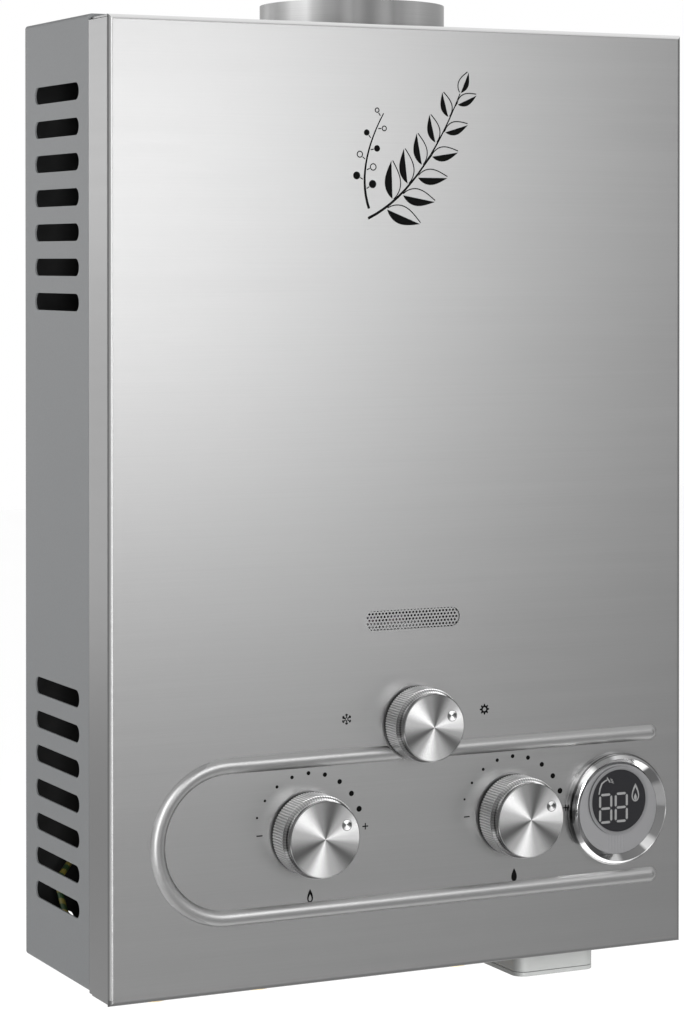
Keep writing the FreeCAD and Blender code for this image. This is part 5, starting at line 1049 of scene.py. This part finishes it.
def segment(x0, z0, x1, z1):
    """One bar of a digit, pointed at both ends."""
    along = Vector((x1 - x0, z1 - z0)).normalized()
    side = Vector((-along.y, along.x)) * (DIGIT_LINE / 2)
    first = Vector((x0, z0)) + along * DIGIT_GAP
    last = Vector((x1, z1)) - along * DIGIT_GAP
    inset = along * (DIGIT_LINE / 2)
    points = [
        first, first + inset + side, last - inset + side,
        last, last - inset - side, first + inset - side,
    ]
    return [tuple(point) for point in points]


def shower(x, z):
    """A bent arm with a small head and three jets."""
    x0, z0, x1, z1 = SHOWER_HEAD
    outlines = [
        ribbon([(x + across, z + up) for across, up in SHOWER_ARM], SHOWER_ARM_WIDTHS),
        bar(x + x0, z + z0, x + x1, z + z1, SHOWER_HEAD_WIDTH),
    ]
    x0, z0, x1, z1 = SHOWER_JET
    for k in range(3):
        jet_x, jet_z = x + k * SHOWER_JET_STEP[0], z + k * SHOWER_JET_STEP[1]
        outlines.append(bar(jet_x + x0, jet_z + z0, jet_x + x1, jet_z + z1, SHOWER_JET_WIDTH))
    return outlines


def printed_marks():
    """Everything that is printed on the cover."""
    y = front_y - PRINT_LIFT
    for dial in ("gas", "water"):
        x, z = (value / MM for value in front_centre(dial + "_knob"))
        printed(dial + "_dial_print", dial_outlines(x, z), y, ink)
        x, z = x + SIGN_PLACE[0], z + SIGN_PLACE[1]
        sign = [flame(x, z, SIGN_SIZE)]
        if dial == "gas":
            sign.append(flame(x, z - SIGN_HOLE_DROP, SIGN_HOLE_SIZE))
        printed(dial + "_sign_print", sign, y, ink)
    printed("winter_print", snowflake(*WINTER_PLACE, SNOWFLAKE_RADIUS), y, ink)
    printed("summer_print", sun(*SUMMER_PLACE, SUN_RADIUS), y, ink)
    printed("branch_print", branch_outlines(), y, ink)
    printed("twig_print", twig_outlines(), y, ink)


def display_segments():
    """Unlit bars and signs in the display window."""
    x, z = (value / MM for value in lens_centre)
    outlines = []
    for place in DIGIT_PLACES:
        outlines += digit_eight(x + place - DIGIT_WIDTH / 2, z + DIGIT_DROP - DIGIT_HEIGHT / 2)
    outlines += [flame(x + FLAME_PLACE, z + up, size) for up, size in FLAME_OUTLINES]
    outlines += shower(x + SHOWER_PLACE[0], z + SHOWER_PLACE[1])
    printed("display_segments", outlines, lens_low.y - PRINT_LIFT, segment_grey)


# Threaded connections

def lathe(name, rows, closed=True):
    """A mesh from rings of points, either joined end to end or closed by a face at each end."""
    shape = bmesh.new()
    rings = [[shape.verts.new(place) for place in row] for row in rows]
    count = len(rings[0])
    for lower, upper in zip(rings, rings[1:] + rings[:1] if closed else rings[1:]):
        for k in range(count):
            shape.faces.new((lower[k], lower[(k + 1) % count], upper[(k + 1) % count], upper[k]))
    if not closed:
        shape.faces.new(rings[0])
        shape.faces.new(rings[-1])
    bmesh.ops.recalc_face_normals(shape, faces=shape.faces)
    mesh = meshed(name, shape)
    for face in mesh.polygons:
        face.use_smooth = len(face.vertices) == 4
    return mesh


def thread_radii(height):
    """Radii round a helical thread at one height; it runs in at the tip and out at the flange."""
    ends = min(1.0, (height - THREAD_LOW) / THREAD_RUN_IN, (FLANGE_LOW - height) / THREAD_RUN_OUT)
    radii = []
    for k in range(CONNECTION_SIDES):
        wave = ((height - THREAD_LOW) / THREAD_PITCH + k / CONNECTION_SIDES) % 1.0
        radii.append(THREAD_ROOT + THREAD_DEPTH * (1 - abs(2 * wave - 1)) * ends)
    return radii


def connection(name, x, top):
    """Threaded end, flange and neck of one pipe connection."""
    first = THREAD_LOW + THREAD_CLEARANCE
    span = FLANGE_LOW - THREAD_CLEARANCE - first
    threaded = [first + span * k / THREAD_STEPS for k in range(THREAD_STEPS + 1)]
    before = [(THREAD_LOW, WIDE_BORE), (THREAD_LOW, THREAD_ROOT)]
    after = [
        (FLANGE_LOW, THREAD_ROOT), (FLANGE_LOW, FLANGE_RADIUS - FLANGE_BEVEL),
        (FLANGE_LOW + FLANGE_BEVEL, FLANGE_RADIUS), (FLANGE_HIGH, FLANGE_RADIUS),
        (FLANGE_HIGH, NECK_RADIUS), (top, NECK_RADIUS), (top, NARROW_BORE),
        (FLANGE_LOW, NARROW_BORE), (FLANGE_LOW, WIDE_BORE),
    ]
    rows = [(height, [radius] * CONNECTION_SIDES) for height, radius in before]
    rows += [(height, thread_radii(height)) for height in threaded]
    rows += [(height, [radius] * CONNECTION_SIDES) for height, radius in after]
    turns = [2 * math.pi * k / CONNECTION_SIDES for k in range(CONNECTION_SIDES)]
    outward = [Vector((math.cos(turn), math.sin(turn), 0)) for turn in turns]
    mesh = lathe(name, [
        [
            (Vector((x, CONNECTION_Y, height)) + way * radius) * MM
            for way, radius in zip(outward, radii)
        ]
        for height, radii in rows
    ])
    mesh.materials.append(slots["brass"])
    mesh.set_sharp_from_angle(angle=math.radians(THREAD_SHARP))
    piece = placed(name, mesh)
    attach(piece, "casing")
    return piece


def threaded_connections():
    """The three connections, in place of the plain ones."""
    pieces = [connection(name + "_connection", *place) for name, place in CONNECTIONS.items()]
    for piece in pieces:
        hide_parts("pipe_nipples")


# Spring on the push rod

def rod_spring_piece():
    """Coiled wire between the gas valve and the seat on the rod, with flattened end turns."""
    low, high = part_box("rod_spring")
    middle_y, middle_z = (low.y + high.y) / 2, (low.z + high.z) / 2
    radius = (high.z - low.z) / 2 - SPRING_WIRE
    first, last = low.x + SPRING_WIRE, high.x - SPRING_WIRE
    total = (SPRING_TURNS + 2) * SPRING_STEPS
    rows = []
    for k in range(total + 1):
        turns = k / SPRING_STEPS
        share = min(max((turns - 1) / SPRING_TURNS, 0.0), 1.0)
        closing = 2 * SPRING_WIRE * (min(turns, 1.0) + max(turns - SPRING_TURNS - 1, 0.0))
        x = first + (last - first - 4 * SPRING_WIRE) * share + closing
        angle = 2 * math.pi * turns
        outward = Vector((0, math.cos(angle), math.sin(angle)))
        centre = Vector((x, middle_y, middle_z)) + outward * radius
        rows.append([
            centre + outward * SPRING_WIRE * math.cos(s) + Vector((SPRING_WIRE * math.sin(s), 0, 0))
            for s in (2 * math.pi * j / SPRING_SIDES for j in range(SPRING_SIDES))
        ])
    mesh = lathe("return_spring", rows, closed=False)
    mesh.materials.append(slots["spring_steel"])
    piece = placed("return_spring", mesh)
    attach(piece, "casing")
    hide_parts("rod_spring")
    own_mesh(piece)


# Studio

def area_light(name, place, aim, size, power):
    """A soft panel that looks at its aim and isn't seen itself."""
    light = bpy.data.lights.new(name, "AREA")
    light.shape = "RECTANGLE"
    light.size, light.size_y = size
    light.energy = power
    lamp = placed(name, light)
    lamp.location = place
    lamp.rotation_euler = (Vector(aim) - Vector(place)).to_track_quat("-Z", "Y").to_euler()
    lamp.visible_camera = False


def studio():
    """Plain pale floor, even white surroundings and soft lights."""
    world = bpy.data.worlds.new("studio")
    world.use_nodes = True
    world.node_tree.nodes["Background"].inputs["Color"].default_value = (1, 1, 1, 1)
    world.node_tree.nodes["Background"].inputs["Strength"].default_value = WORLD_LIGHT
    bpy.context.scene.world = world
    bpy.context.scene.view_settings.view_transform = "Standard"
    shape = bmesh.new()
    bmesh.ops.create_grid(shape, x_segments=4, y_segments=4, size=FLOOR_SIZE / 2)
    floor = placed("floor", meshed("floor", shape))
    floor.location = (0, 0, cad_box[0].z - FLOOR_DROP)
    material, tree, shader = start("floor_white", (0.98, 0.98, 0.98), 0.0, 0.9)
    cloud = noise(tree, places(tree), 2.0, 2)
    shade(tree, shader, mixed(tree, cloud, (0.97, 0.97, 0.97), (0.99, 0.99, 0.99)))
    floor.data.materials.append(material)
    for light in LIGHTS:
        area_light(*light)


def camera():
    """Camera where the photograph was taken, turned to the right and a little down."""
    data = bpy.data.cameras.new("camera")
    data.lens = CAMERA_LENS
    data.sensor_width = CAMERA_SENSOR
    data.shift_x, data.shift_y = CAMERA_SHIFT
    data.clip_start, data.clip_end = CAMERA_CLIP
    holder = placed("camera", data)
    holder.location = CAMERA_PLACE
    holder.rotation_euler = (math.radians(90.0 - CAMERA_PITCH), 0.0, math.radians(-CAMERA_TURN))
    bpy.context.scene.camera = holder


paint_cad_nodes()
printed_marks()
display_segments()
threaded_connections()
rod_spring_piece()
studio()
camera()
